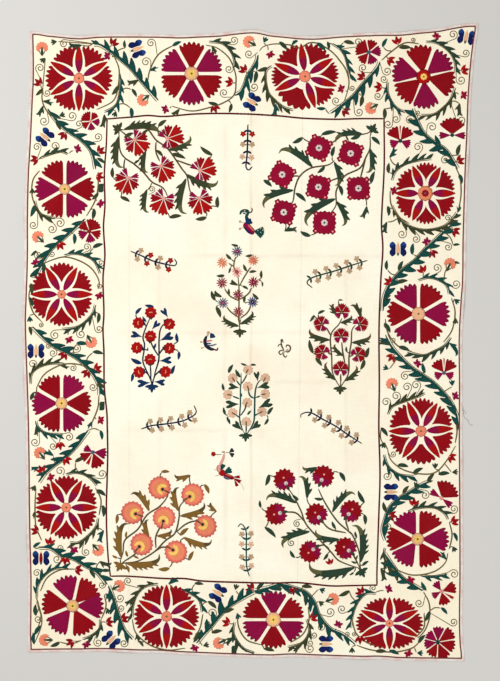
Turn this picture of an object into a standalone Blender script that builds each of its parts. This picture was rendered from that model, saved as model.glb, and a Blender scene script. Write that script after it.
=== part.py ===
# Embroidered suzani wall cloth, laid flat on a floor.
# Three lengths of hand-woven cotton are sewn side by side into one ground. A narrow dark braid is sewn
# round the ground, and four strips of folded cotton bind the edge outside the braid.
# Frame: metres, +Z up. +X runs across the cloth, +Y runs along it towards its head, and the origin is the
# middle of the cloth's bounding box, on the floor.

import math

import bmesh
import bpy
from mathutils import Vector

# Driving dimensions, in metres
CORNERS = {
    "head_left": (-0.8380, 1.1820),
    "head_right": (0.8664, 1.2126),
    "foot_right": (0.8140, -1.2126),
    "foot_left": (-0.8444, -1.1791),
}
CLOTH_THICK = 0.0015
BRAID_WIDE = 0.0045
BRAID_THICK = 0.0024
BINDING_WIDE = 0.0095
BINDING_THICK = 0.0026
BINDING_ROUND = 0.0007
CORNER_RADIUS = 0.0060
SEWN_GAP = 0.0003
MITRE_SETBACK = 0.00022
PANEL_INSET = BINDING_WIDE + BRAID_WIDE + 2 * SEWN_GAP

# The edge runs square to the frame this close to a corner, then blends into the side's own curve
SQUARE_CORNER = 0.016
CORNER_BLEND = 0.050

# Cross lines that round an outer corner: radii from the corner outside, distance past the mitre inside
ROUND_LINES = ({"radii": 0.6, "past": 0.003}, {"radii": 1.1, "past": 0.007})

# Mesh pitch of the ground cloth
CLOTH_PITCH = 0.055

# Each side bows in or out from the straight line between its corners.
# along: distance from the side's left or upper corner; out: how far the edge lies outside that line.
SIDE_WAVES = {
    "head": {
        "along": (0.11, 0.19, 0.27, 0.49, 0.57, 0.65, 0.72, 0.80, 0.86, 0.91, 0.97, 1.03,
                  1.10, 1.18, 1.33, 1.41, 1.48, 1.56, 1.615, 1.67),
        "out": (-0.013, -0.021, -0.016, -0.020, -0.024, -0.022, -0.020, -0.012, -0.011, -0.022, -0.029, -0.036,
                -0.038, -0.032, -0.028, -0.029, -0.023, -0.016, -0.006, 0.000),
    },
    "right": {
        "along": (0.06, 0.14, 0.22, 0.29, 0.44, 0.52, 0.67, 0.82, 0.98, 1.05, 1.20, 1.36,
                  1.58, 1.81, 1.96, 2.12, 2.27, 2.36),
        "out": (-0.005, -0.013, -0.018, -0.021, -0.023, -0.0255, -0.027, -0.028, -0.0265, -0.0305, -0.0345, -0.030,
                -0.026, -0.0195, -0.0155, -0.012, -0.0105, -0.006),
    },
    "foot": {
        "along": (0.12, 0.20, 0.27, 0.35, 0.42, 0.50, 0.58, 0.65, 0.80, 0.92, 1.00, 1.11,
                  1.26, 1.34, 1.41, 1.53),
        "out": (-0.004, -0.006, -0.009, -0.009, -0.007, -0.0075, -0.0035, -0.002, 0.001, 0.002, -0.003, -0.0015,
                0.000, -0.0015, 0.0020, 0.0015),
    },
    "left": {
        "along": (0.11, 0.19, 0.26, 0.41, 0.56, 0.72, 0.87, 1.02, 1.10, 1.21, 1.32, 1.48,
                  1.63, 1.78, 1.93, 2.08, 2.20, 2.31),
        "out": (-0.002, -0.002, 0.0015, 0.008, 0.016, 0.0185, 0.0185, 0.023, 0.0255, 0.0225, 0.018, 0.013,
                0.010, 0.0085, 0.0055, 0.0015, 0.0015, 0.0025),
    },
}

# The seams between the three lengths of cloth, as (x at the head, x at the foot)
SEAMS = {"left_seam": (-0.4590, -0.4610), "right_seam": (0.2030, 0.1767)}

# Soft ridges where the cloth was folded for storage: ends, height, and half width
FOLDS = (
    {"name": "centre_fold", "start": (-0.004, 1.24), "end": (0.020, -1.24), "high": 0.0034, "half": 0.050},
    {"name": "right_fold", "start": (0.363, 0.420), "end": (0.363, -0.660), "high": 0.0024, "half": 0.050},
    {"name": "left_fold", "start": (-0.345, 0.560), "end": (-0.335, -0.700), "high": 0.0020, "half": 0.050},
    {"name": "upper_cross_fold", "start": (-0.420, 0.332), "end": (0.560, 0.326), "high": 0.0022, "half": 0.050},
    {"name": "lower_cross_fold", "start": (-0.520, -0.332), "end": (0.010, -0.338), "high": 0.0020, "half": 0.050},
)

# Each end of a fold fades out over this share of its length
FOLD_FADE = 1 / 6

# Ripples that start at an edge and die out inwards: the point on the edge, the way inwards, half width, reach
RIPPLES = (
    {"at": (0.020, 1.190), "way": (0, -1), "high": 0.0040, "half": 0.085, "reach": 0.26},
    {"at": (-0.640, 1.165), "way": (0.1, -1), "high": 0.0030, "half": 0.080, "reach": 0.20},
    {"at": (0.260, 1.165), "way": (-0.1, -1), "high": 0.0026, "half": 0.075, "reach": 0.18},
    {"at": (0.600, 1.185), "way": (-0.2, -1), "high": 0.0030, "half": 0.080, "reach": 0.20},
    {"at": (0.825, 0.700), "way": (-1, 0.1), "high": 0.0030, "half": 0.085, "reach": 0.20},
    {"at": (0.810, 0.150), "way": (-1, 0), "high": 0.0034, "half": 0.090, "reach": 0.22},
    {"at": (0.805, -0.450), "way": (-1, -0.1), "high": 0.0028, "half": 0.085, "reach": 0.18},
    {"at": (0.420, -1.205), "way": (0.1, 1), "high": 0.0030, "half": 0.080, "reach": 0.20},
    {"at": (-0.480, -1.185), "way": (-0.1, 1), "high": 0.0032, "half": 0.085, "reach": 0.20},
    {"at": (-0.840, -0.760), "way": (1, 0), "high": 0.0030, "half": 0.085, "reach": 0.20},
    {"at": (-0.860, -0.150), "way": (1, 0.1), "high": 0.0034, "half": 0.090, "reach": 0.22},
    {"at": (-0.860, 0.480), "way": (1, -0.1), "high": 0.0028, "half": 0.080, "reach": 0.18},
)

COLOURS = {
    "ground": (0.86, 0.78, 0.63),
    "braid": (0.17, 0.014, 0.018),
    "binding": (0.84, 0.70, 0.62),
}


def smooth(value):
    """An even rise from 0 to 1."""
    value = min(1.0, max(0.0, value))
    return value * value * (3 - 2 * value)


def curve_through(places, values, at):
    """A smooth value at a place, through the rows of a short table (Catmull-Rom)."""
    if at <= places[0]:
        return values[0]
    if at >= places[-1]:
        return values[-1]
    i = max(k for k in range(len(places) - 1) if places[k] <= at)
    before, after = max(i - 1, 0), min(i + 2, len(places) - 1)
    span = places[i + 1] - places[i]
    t = (at - places[i]) / span
    slope_0 = (values[i + 1] - values[before]) / (places[i + 1] - places[before]) * span
    slope_1 = (values[after] - values[i]) / (places[after] - places[i]) * span
    return (
        (2 * t**3 - 3 * t**2 + 1) * values[i]
        + (t**3 - 2 * t**2 + t) * slope_0
        + (-2 * t**3 + 3 * t**2) * values[i + 1]
        + (t**3 - t**2) * slope_1
    )


SIDES = {
    "head": {"ends": ("head_left", "head_right"), "along": 0, "out": 1},
    "right": {"ends": ("head_right", "foot_right"), "along": 1, "out": 1},
    "foot": {"ends": ("foot_left", "foot_right"), "along": 0, "out": -1},
    "left": {"ends": ("head_left", "foot_left"), "along": 1, "out": -1},
}


def side_span(side):
    """Where a side starts and ends, measured along its own axis."""
    axis = SIDES[side]["along"]
    return tuple(CORNERS[name][axis] for name in SIDES[side]["ends"])


def edge_at(side, place, inset):
    """Where a side's edge lies across its own axis, drawn in by an inset, at a place along that axis."""
    axis, out = SIDES[side]["along"], SIDES[side]["out"]
    first, last = (CORNERS[name] for name in SIDES[side]["ends"])
    length = abs(last[axis] - first[axis])
    distance = min(length, max(0.0, abs(place - first[axis])))
    straight = first[1 - axis] + (last[1 - axis] - first[1 - axis]) * distance / length
    places = (0.0, *SIDE_WAVES[side]["along"], length)
    values = (0.0, *SIDE_WAVES[side]["out"], 0.0)
    edge = straight + out * curve_through(places, values, distance)
    corner = first if distance < length / 2 else last
    square = smooth((min(distance, length - distance) - SQUARE_CORNER) / CORNER_BLEND)
    return corner[1 - axis] + (edge - corner[1 - axis]) * square - out * inset


def lift(x, y):
    """Height of the cloth's underside over the floor."""
    point = Vector((x, y))
    height = 0.0
    for fold in FOLDS:
        start, end = Vector(fold["start"]), Vector(fold["end"])
        run = end - start
        share = (point - start).dot(run) / run.length_squared
        across = abs((point - start).cross(run)) / run.length
        ends = smooth(share / FOLD_FADE) * smooth((1 - share) / FOLD_FADE)
        if across < fold["half"]:
            ridge = fold["high"] * ends * math.cos(across / fold["half"] * math.pi / 2) ** 2
            height = max(height, ridge)
    for ripple in RIPPLES:
        way = Vector(ripple["way"]).normalized()
        off = point - Vector(ripple["at"])
        inwards = off.dot(way)
        across = abs(off.cross(way))
        if across < ripple["half"] and inwards < ripple["reach"]:
            fade = 1 - smooth(max(inwards, 0.0) / ripple["reach"])
            ridge = ripple["high"] * fade * math.cos(across / ripple["half"] * math.pi / 2) ** 2
            height = max(height, ridge)
    return height


def plain_material(name, colour, roughness):
    material = bpy.data.materials.new(name)
    material.use_nodes = True
    shader = material.node_tree.nodes["Principled BSDF"]
    shader.inputs["Base Color"].default_value = (*colour, 1)
    shader.inputs["Roughness"].default_value = roughness
    shader.inputs["Metallic"].default_value = 0.0
    return material


def sheet_object(name, point_at, columns, rows, thick, material, collection):
    """A grid moved to point_at(column, row) and drawn upwards to its thickness."""
    mesh = bpy.data.meshes.new(name)
    shape = bmesh.new()
    bmesh.ops.create_grid(shape, x_segments=columns - 1, y_segments=rows - 1, size=0.5)
    for vertex in shape.verts:
        column = round((vertex.co.x + 0.5) * (columns - 1))
        row = round((vertex.co.y + 0.5) * (rows - 1))
        vertex.co = point_at(column, row)
    drawn = bmesh.ops.extrude_face_region(shape, geom=shape.faces[:], use_keep_orig=True)
    upper = [part for part in drawn["geom"] if isinstance(part, bmesh.types.BMVert)]
    bmesh.ops.translate(shape, verts=upper, vec=(0, 0, thick))
    bmesh.ops.recalc_face_normals(shape, faces=shape.faces)
    shape.to_mesh(mesh)
    shape.free()
    mesh.materials.append(material)
    made = bpy.data.objects.new(name, mesh)
    collection.objects.link(made)
    return made


def spaced(length, pitch):
    """Even shares from 0 to 1, about pitch apart over the length."""
    count = max(2, round(length / pitch))
    return [i / count for i in range(count + 1)]


def snapped(shares, wanted):
    """The shares with the nearest inner one moved onto each wanted share."""
    for share in wanted:
        if 0.02 < share < 0.98:
            nearest = min(range(1, len(shares) - 1), key=lambda i: abs(shares[i] - share))
            shares[nearest] = share
    return sorted(shares)


def seam_x(name, y, side_of_seam):
    """X of a seam at a height y of the cloth, half a sewn gap to one side of it."""
    at_head, at_foot = SEAMS[name]
    head, foot = CORNERS["head_left"][1], CORNERS["foot_left"][1]
    return at_head + (at_foot - at_head) * (head - y) / (head - foot) + side_of_seam * SEWN_GAP / 2


def ground_points(left, right):
    """Rows of points of one length of cloth, between two lines that give x at a y."""
    head, foot = CORNERS["head_left"][1], CORNERS["foot_left"][1]
    start, width = left(0.0), right(0.0) - left(0.0)
    lengthwise = [(fold["start"][0] + fold["end"][0]) / 2 for fold in FOLDS if "cross" not in fold["name"]]
    crosswise = [(fold["start"][1] + fold["end"][1]) / 2 for fold in FOLDS if "cross" in fold["name"]]
    columns = snapped(spaced(width, CLOTH_PITCH), [(x - start) / width for x in lengthwise])
    rows = snapped(spaced(head - foot, CLOTH_PITCH), [(head - y) / (head - foot) for y in crosswise])
    points = []
    for row in rows:
        line = []
        for column in columns:
            y = head + (foot - head) * row
            for _ in range(3):
                x = left(y) + (right(y) - left(y)) * column
                top, bottom = edge_at("head", x, PANEL_INSET), edge_at("foot", x, PANEL_INSET)
                y = top + (bottom - top) * row
            line.append(Vector((x, y, lift(x, y))))
        points.append(line)
    return points


def ground_panel(name, points, material, collection):
    """One length of the ground cloth."""
    return sheet_object(
        name,
        lambda column, row: points[row][column],
        len(points[0]),
        len(points),
        CLOTH_THICK,
        material,
        collection,
    )


def corner_lines(inset, wide, outer):
    """Distances from a corner, outside and inside a strip, of its first cross lines."""
    inner = inset + wide + MITRE_SETBACK
    if not outer:
        return [(inset + MITRE_SETBACK, inner)]
    turn = CORNER_RADIUS * (1 - math.sqrt(0.5)) + MITRE_SETBACK
    return [(turn, inner)] + [(CORNER_RADIUS * line["radii"], inner + line["past"]) for line in ROUND_LINES]


def corner_setback(distance):
    """How far the rounded corner draws the outer edge in, at a distance from the corner."""
    if distance >= CORNER_RADIUS:
        return 0.0
    return CORNER_RADIUS - math.sqrt(CORNER_RADIUS**2 - (CORNER_RADIUS - distance) ** 2)


def edge_strip(name, side, stations, inset, wide, thick, material, collection, outer=False):
    """A narrow strip along one side, mitred at both corners, its cross lines at the panels' stations."""
    axis = SIDES[side]["along"]
    start, end = side_span(side)
    way = math.copysign(1, end - start)
    at_start = [(start + way * a, start + way * b) for a, b in corner_lines(inset, wide, outer)]
    at_end = [(end - way * a, end - way * b) for a, b in corner_lines(inset, wide, outer)]
    lines = at_start + [(place, place) for place in stations] + at_end[::-1]

    def point_at(column, row):
        place = lines[row][column]
        in_from_edge = inset + wide * column
        if outer and column == 0:
            in_from_edge += corner_setback(min(abs(place - start), abs(end - place)))
        x, y = (place, edge_at(side, place, in_from_edge))[:: 1 if axis == 0 else -1]
        return Vector((x, y, lift(x, y)))

    return sheet_object(name, point_at, 2, len(lines), thick, material, collection)


def rounded_edges(strip):
    """Softens the long edges of a folded strip."""
    bevel = strip.modifiers.new("fold", "BEVEL")
    bevel.width = BINDING_ROUND
    bevel.segments = 1
    bevel.limit_method = "ANGLE"
    bevel.angle_limit = math.radians(60)


def build():
    for old in list(bpy.data.objects):
        bpy.data.objects.remove(old, do_unlink=True)
    suzani = bpy.data.collections.new("suzani")
    bpy.context.scene.collection.children.link(suzani)

    ground = plain_material("ground_cotton", COLOURS["ground"], 0.90)
    braid = plain_material("braid_silk", COLOURS["braid"], 0.65)
    binding = plain_material("binding_cotton", COLOURS["binding"], 0.90)

    points = {
        "panel_left": ground_points(
            lambda y: edge_at("left", y, PANEL_INSET), lambda y: seam_x("left_seam", y, -1)
        ),
        "panel_middle": ground_points(
            lambda y: seam_x("left_seam", y, 1), lambda y: seam_x("right_seam", y, -1)
        ),
        "panel_right": ground_points(
            lambda y: seam_x("right_seam", y, 1), lambda y: edge_at("right", y, PANEL_INSET)
        ),
    }
    for name, rows in points.items():
        ground_panel(name, rows, ground, suzani)

    left, middle, right = points.values()
    stations = {
        "head": [point.x for point in left[0][1:] + middle[0][1:] + right[0][1:-1]],
        "foot": [point.x for point in left[-1][1:] + middle[-1][1:] + right[-1][1:-1]],
        "left": [row[0].y for row in left[1:-1]],
        "right": [row[-1].y for row in right[1:-1]],
    }
    for side, places in stations.items():
        strip = edge_strip(
            f"binding_{side}", side, places, 0.0, BINDING_WIDE, BINDING_THICK, binding, suzani, outer=True
        )
        rounded_edges(strip)
        braid_inset = BINDING_WIDE + SEWN_GAP
        edge_strip(f"braid_{side}", side, places, braid_inset, BRAID_WIDE, BRAID_THICK, braid, suzani)


build()
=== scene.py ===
# Suzani wall cloth laid flat: hand-woven cotton, silk embroidery, dark red braid and a folded cotton edge.
import math
import random

import bpy
import numpy as np
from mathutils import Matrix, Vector


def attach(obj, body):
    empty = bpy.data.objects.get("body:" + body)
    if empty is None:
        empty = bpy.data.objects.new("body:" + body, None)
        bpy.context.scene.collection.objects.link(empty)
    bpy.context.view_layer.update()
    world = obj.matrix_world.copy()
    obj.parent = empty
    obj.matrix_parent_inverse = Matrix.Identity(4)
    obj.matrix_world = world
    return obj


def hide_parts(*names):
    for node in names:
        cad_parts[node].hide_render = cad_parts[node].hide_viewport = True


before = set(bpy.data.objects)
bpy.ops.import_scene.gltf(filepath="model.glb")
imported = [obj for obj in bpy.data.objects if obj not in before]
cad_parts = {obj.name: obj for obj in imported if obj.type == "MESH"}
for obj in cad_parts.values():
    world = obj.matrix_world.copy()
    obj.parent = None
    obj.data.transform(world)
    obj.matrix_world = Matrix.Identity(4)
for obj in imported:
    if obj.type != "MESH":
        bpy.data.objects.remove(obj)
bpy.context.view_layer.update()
chance = random.Random(1858)  # every small difference between stitches is drawn from here, in order
cm = 0.01  # the drawing below is in centimetres from the middle of the cloth, x to the right, y to the head

# Silks and cottons, as seen colours
silks = {
    "deepRed": (146, 0, 14), "magenta": (142, 0, 62), "flame": (172, 8, 4), "crimson": (150, 0, 46),
    "teal": (14, 72, 66), "forest": (42, 66, 48), "olive": (112, 98, 52), "moss": (58, 66, 40),
    "navy": (8, 24, 84), "royal": (20, 62, 128), "coral": (246, 140, 108), "peach": (244, 184, 140),
    "sand": (228, 184, 152), "pink": (244, 168, 154), "yellow": (250, 206, 104), "gold": (134, 98, 42),
    "tan": (196, 164, 130), "ink": (30, 40, 46), "slate": (92, 96, 128), "orange": (236, 140, 96),
    "bark": (92, 76, 44), "ivory": (226, 214, 190), "pale": (226, 208, 196), "rose": (228, 108, 92),
    "sage": (92, 94, 58), "petrol": (12, 48, 92), "midnight": (22, 26, 56), "frameRed": (92, 0, 10),
    "seam": (196, 186, 160),
}


def linear(colour):
    # seen colour, 0 to 255, to the linear value that Blender mixes
    return [((c / 255 + 0.055) / 1.055) ** 2.4 if c > 10 else c / 255 / 12.92 for c in colour]


print("suzani: frame loaded")

# The four sides of the cloth, as in the solids: how far each bows out of the line between its corners
corners = {"headLeft": (-83.80, 118.20), "headRight": (86.64, 121.26),
           "footRight": (81.40, -121.26), "footLeft": (-84.44, -117.91)}
sides = {
    "head": {"ends": ("headLeft", "headRight"), "axis": 0, "way": 1,
             "along": (11, 19, 27, 49, 57, 65, 72, 80, 86, 91, 97, 103, 110, 118, 133, 141, 148, 156, 161.5,
                       167),
             "bow": (-1.3, -2.1, -1.6, -2.0, -2.4, -2.2, -2.0, -1.2, -1.1, -2.2, -2.9, -3.6, -3.8, -3.2,
                     -2.8,
                     -2.9, -2.3, -1.6, -0.6, 0.0)},
    "right": {"ends": ("headRight", "footRight"), "axis": 1, "way": 1,
              "along": (6, 14, 22, 29, 44, 52, 67, 82, 98, 105, 120, 136, 158, 181, 196, 212, 227, 236),
              "bow": (-0.5, -1.3, -1.8, -2.1, -2.3, -2.55, -2.7, -2.8, -2.65, -3.05, -3.45, -3.0, -2.6,
                      -1.95,
                      -1.55, -1.2, -1.05, -0.6)},
    "foot": {"ends": ("footLeft", "footRight"), "axis": 0, "way": -1,
             "along": (12, 20, 27, 35, 42, 50, 58, 65, 80, 92, 100, 111, 126, 134, 141, 153),
             "bow": (-0.4, -0.6, -0.9, -0.9, -0.7, -0.75, -0.35, -0.2, 0.1, 0.2, -0.3, -0.15, 0.0, -0.15,
                     0.2,
                     0.15)},
    "left": {"ends": ("headLeft", "footLeft"), "axis": 1, "way": -1,
             "along": (11, 19, 26, 41, 56, 72, 87, 102, 110, 121, 132, 148, 163, 178, 193, 208, 220, 231),
             "bow": (-0.2, -0.2, 0.15, 0.8, 1.6, 1.85, 1.85, 2.3, 2.55, 2.25, 1.8, 1.3, 1.0, 0.85, 0.55,
                     0.15,
                     0.15, 0.25)},
}
make = {"bindingWide": 0.95, "braidWide": 0.45, "gap": 0.03, "square": 1.6, "blend": 5.0,
        "clothThick": 0.15, "seamLeft": (-45.90, -46.10), "seamRight": (20.30, 17.67), "pitch": 1.1}
panelInset = make["bindingWide"] + make["braidWide"] + 2 * make["gap"]

# Storage folds and edge ripples, as low soft ridges, repeated from the solids
folds = [  # from, to, height, half width
    ((-0.4, 124), (2.0, -124), 0.34, 5.0),
    ((36.3, 42.0), (36.3, -66.0), 0.24, 5.0),
    ((-34.5, 56.0), (-33.5, -70.0), 0.20, 5.0),
    ((-42.0, 33.2), (56.0, 32.6), 0.22, 5.0),
    ((-52.0, -33.2), (1.0, -33.8), 0.20, 5.0),
]
ripples = [  # from the edge at, way in, height, half width, reach
    ((2.0, 119.0), (0, -1), 0.40, 8.5, 26),
    ((-64.0, 116.5), (0.1, -1), 0.30, 8.0, 20),
    ((26.0, 116.5), (-0.1, -1), 0.26, 7.5, 18),
    ((60.0, 118.5), (-0.2, -1), 0.30, 8.0, 20),
    ((82.5, 70.0), (-1, 0.1), 0.30, 8.5, 20),
    ((81.0, 15.0), (-1, 0), 0.34, 9.0, 22),
    ((80.5, -45.0), (-1, -0.1), 0.28, 8.5, 18),
    ((42.0, -120.5), (0.1, 1), 0.30, 8.0, 20),
    ((-48.0, -118.5), (-0.1, 1), 0.32, 8.5, 20),
    ((-84.0, -76.0), (1, 0), 0.30, 8.5, 20),
    ((-86.0, -15.0), (1, 0.1), 0.34, 9.0, 22),
    ((-86.0, 48.0), (1, -0.1), 0.28, 8.0, 18),
]


def ease(value):
    value = np.clip(value, 0, 1)
    return value * value * (3 - 2 * value)


def curveThrough(places, values, at):
    # smooth values through the rows of a short table
    places, values = np.array(places, float), np.array(values, float)
    i = np.clip(np.searchsorted(places, at, side="right") - 1, 0, len(places) - 2)
    before, after = np.maximum(i - 1, 0), np.minimum(i + 2, len(places) - 1)
    span = places[i + 1] - places[i]
    t = np.clip((at - places[i]) / span, 0, 1)
    slope0 = (values[i + 1] - values[before]) / (places[i + 1] - places[before]) * span
    slope1 = (values[after] - values[i]) / (places[after] - places[i]) * span
    return ((2 * t**3 - 3 * t**2 + 1) * values[i] + (t**3 - 2 * t**2 + t) * slope0
            + (3 * t**2 - 2 * t**3) * values[i + 1] + (t**3 - t**2) * slope1)


def gone(line):
    # how far along a line each of its points lies
    return np.concatenate(([0], np.cumsum(np.linalg.norm(np.diff(line, axis=0), axis=1))))


def edgeAt(side, place, inset):
    # where a side lies across its own axis, drawn in by an inset
    row = sides[side]
    axis, way = row["axis"], row["way"]
    first, last = (corners[name] for name in row["ends"])
    length = abs(last[axis] - first[axis])
    distance = np.clip(np.abs(np.asarray(place, float) - first[axis]), 0, length)
    straight = first[1 - axis] + (last[1 - axis] - first[1 - axis]) * distance / length
    bow = curveThrough((0, *row["along"], length), (0, *row["bow"], 0), distance)
    corner = np.where(distance < length / 2, first[1 - axis], last[1 - axis])
    blend = ease((np.minimum(distance, length - distance) - make["square"]) / make["blend"])
    return corner + (straight + way * bow - corner) * blend - way * inset


def within(place, margin):
    # the place, moved in from the edges of the border where it is nearer than the margin
    x, y = place
    x = np.clip(x, edgeAt("left", y, panelInset + margin), edgeAt("right", y, panelInset + margin))
    y = np.clip(y, edgeAt("foot", x, panelInset + margin), edgeAt("head", x, panelInset + margin))
    return np.array([float(x), float(y)])


def clothLift(x, y):
    # height of the cloth's underside over the floor
    high = np.zeros(np.shape(x))
    for (ax, ay), (bx, by), tall, half in folds:
        run = math.hypot(bx - ax, by - ay)
        share = ((x - ax) * (bx - ax) + (y - ay) * (by - ay)) / run**2
        across = np.abs((x - ax) * (by - ay) - (y - ay) * (bx - ax)) / run
        ends = ease(share * 6) * ease((1 - share) * 6)
        high = np.maximum(high, tall * ends * np.cos(np.minimum(across / half, 1) * math.pi / 2) ** 2)
    for at, way, tall, half, reach in ripples:
        wayLong = math.hypot(*way)
        wx, wy = way[0] / wayLong, way[1] / wayLong
        dx, dy = x - at[0], y - at[1]
        inwards, across = dx * wx + dy * wy, np.abs(dx * wy - dy * wx)
        fade = 1 - ease(np.maximum(inwards, 0) / reach)
        high = np.maximum(high, tall * fade * np.cos(np.minimum(across / half, 1) * math.pi / 2) ** 2)
    return high


def clothTop(x, y):
    # height of the face that the silk is sewn to, with the slight puckers of the sewing
    pucker = np.sin(x * 0.83 + np.sin(y * 0.31) * 1.4) * np.sin(y * 0.67 + np.sin(x * 0.27) * 1.7)
    return clothLift(x, y) + make["clothThick"] + 0.012 * pucker


class Number:
    # a number on its way between shader nodes: sums and products add their own Math nodes
    def __init__(self, finish, socket):
        self.finish, self.socket = finish, socket

    def sum(self, operation, first, second=0.0):
        return self.finish.node("ShaderNodeMath", {"operation": operation}, {0: first, 1: second})

    def __add__(self, other):
        return self.sum("ADD", self, other)

    def __sub__(self, other):
        return self.sum("SUBTRACT", self, other)

    def __mul__(self, other):
        return self.sum("MULTIPLY", self, other)

    def __truediv__(self, other):
        return self.sum("DIVIDE", self, other)

    def __radd__(self, other):
        return self.sum("ADD", other, self)

    def __rsub__(self, other):
        return self.sum("SUBTRACT", other, self)

    def __rmul__(self, other):
        return self.sum("MULTIPLY", other, self)

    def __pow__(self, power):
        return self.sum("POWER", self, power)


class Finish:
    # one surface finish: a Principled shader and the nodes that feed it
    def __init__(self, name, **constants):
        self.material = bpy.data.materials.new(name)
        self.material.use_nodes = True
        self.tree = self.material.node_tree
        self.shader = self.tree.nodes["Principled BSDF"]
        for socket, value in constants.items():
            self.shader.inputs[socket.replace("_", " ")].default_value = value

    def node(self, kind, settings, sockets, output=0):
        made = self.tree.nodes.new(kind)
        for key, value in settings.items():
            if key == "stops":
                ramp = made.color_ramp.elements
                while len(ramp) < len(value):
                    ramp.new(0.5)
                for stop, (place, colour) in zip(ramp, value):
                    stop.position, stop.color = place, (*colour, 1)
            else:
                setattr(made, key, value)
        for key, value in sockets.items():
            if isinstance(value, Number):
                self.tree.links.new(value.socket, made.inputs[key])
            else:
                made.inputs[key].default_value = value
        return Number(self, made.outputs[output])

    def blend(self, factor, first, second, way="MIX"):
        first, second = ((*c, 1) if isinstance(c, (list, tuple)) else c for c in (first, second))
        settings = {"data_type": "RGBA", "blend_type": way, "clamp_factor": True}
        return self.node("ShaderNodeMix", settings, {0: factor, 6: first, 7: second}, 2)

    def noise(self, vector, scale, detail=2.0):
        return self.node("ShaderNodeTexNoise", {}, {"Vector": vector, "Scale": scale, "Detail": detail})

    def wave(self, value, operation="SINE"):
        return self.node("ShaderNodeMath", {"operation": operation}, {0: value})

    def part(self, vector, number):
        return self.node("ShaderNodeSeparateXYZ", {}, {0: vector}, number)

    def stretch(self, vector, scale):
        settings = {"operation": "MULTIPLY"}
        return self.node("ShaderNodeVectorMath", settings, {0: vector, 1: scale})

    def range(self, value, low, high, newLow=0.0, newHigh=1.0):
        sockets = {0: value, 1: low, 2: high, 3: newLow, 4: newHigh}
        return self.node("ShaderNodeMapRange", {"clamp": True}, sockets)

    def feed(self, socket, value):
        self.tree.links.new(value.socket, self.shader.inputs[socket])

    def colour(self, base, shade):
        # the base colour, darkened or lightened by a number
        grey = self.node("ShaderNodeCombineColor", {}, {0: shade, 1: shade, 2: shade})
        self.feed("Base Color", self.blend(1.0, base, grey, "MULTIPLY"))

    def bump(self, height, distance, strength=1.0):
        sockets = {"Height": height, "Distance": distance, "Strength": strength}
        self.feed("Normal", self.node("ShaderNodeBump", {}, sockets))


def silkFinish():
    # flossed silk laid along the shape and couched down with short slanting stitches
    silk = Finish("embroidery_silk", Roughness=0.5, Sheen_Weight=0.03, Sheen_Roughness=0.4)
    silk.shader.inputs["Specular IOR Level"].default_value = 0.08
    laid = silk.node("ShaderNodeUVMap", {"uv_map": "threads"}, {})
    dye = silk.node("ShaderNodeAttribute", {"attribute_name": "dye"}, {})
    strand = silk.noise(silk.stretch(laid, (34.0, 1.6, 1.0)), 1.0, 3.0)  # single strands, each its own shade
    skein = silk.noise(silk.stretch(laid, (3.2, 0.45, 1.0)), 1.0, 2.0)  # where a new needleful begins
    across, along = silk.part(laid, 0), silk.part(laid, 1)
    couching = silk.wave((along * 4.2 + across * 2.6) * (2 * math.pi))
    darkened = silk.range(strand * 0.62 + skein * 0.38, 0.30, 0.70, 0.74, 1.16)
    shade = darkened * (1.0 - 0.10 * silk.range(couching, 0.86, 1.0))
    silk.colour(dye, shade)
    silk.feed("Roughness", silk.range(strand, 0.3, 0.7, 0.38, 0.60))
    ridges = silk.wave(across * (2 * math.pi * 9.0))
    relief = ridges * 0.30 + strand * 0.45 - silk.range(couching, 0.80, 1.0) * 0.35
    silk.bump(relief, 0.0005, 0.75)
    return silk.material


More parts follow.
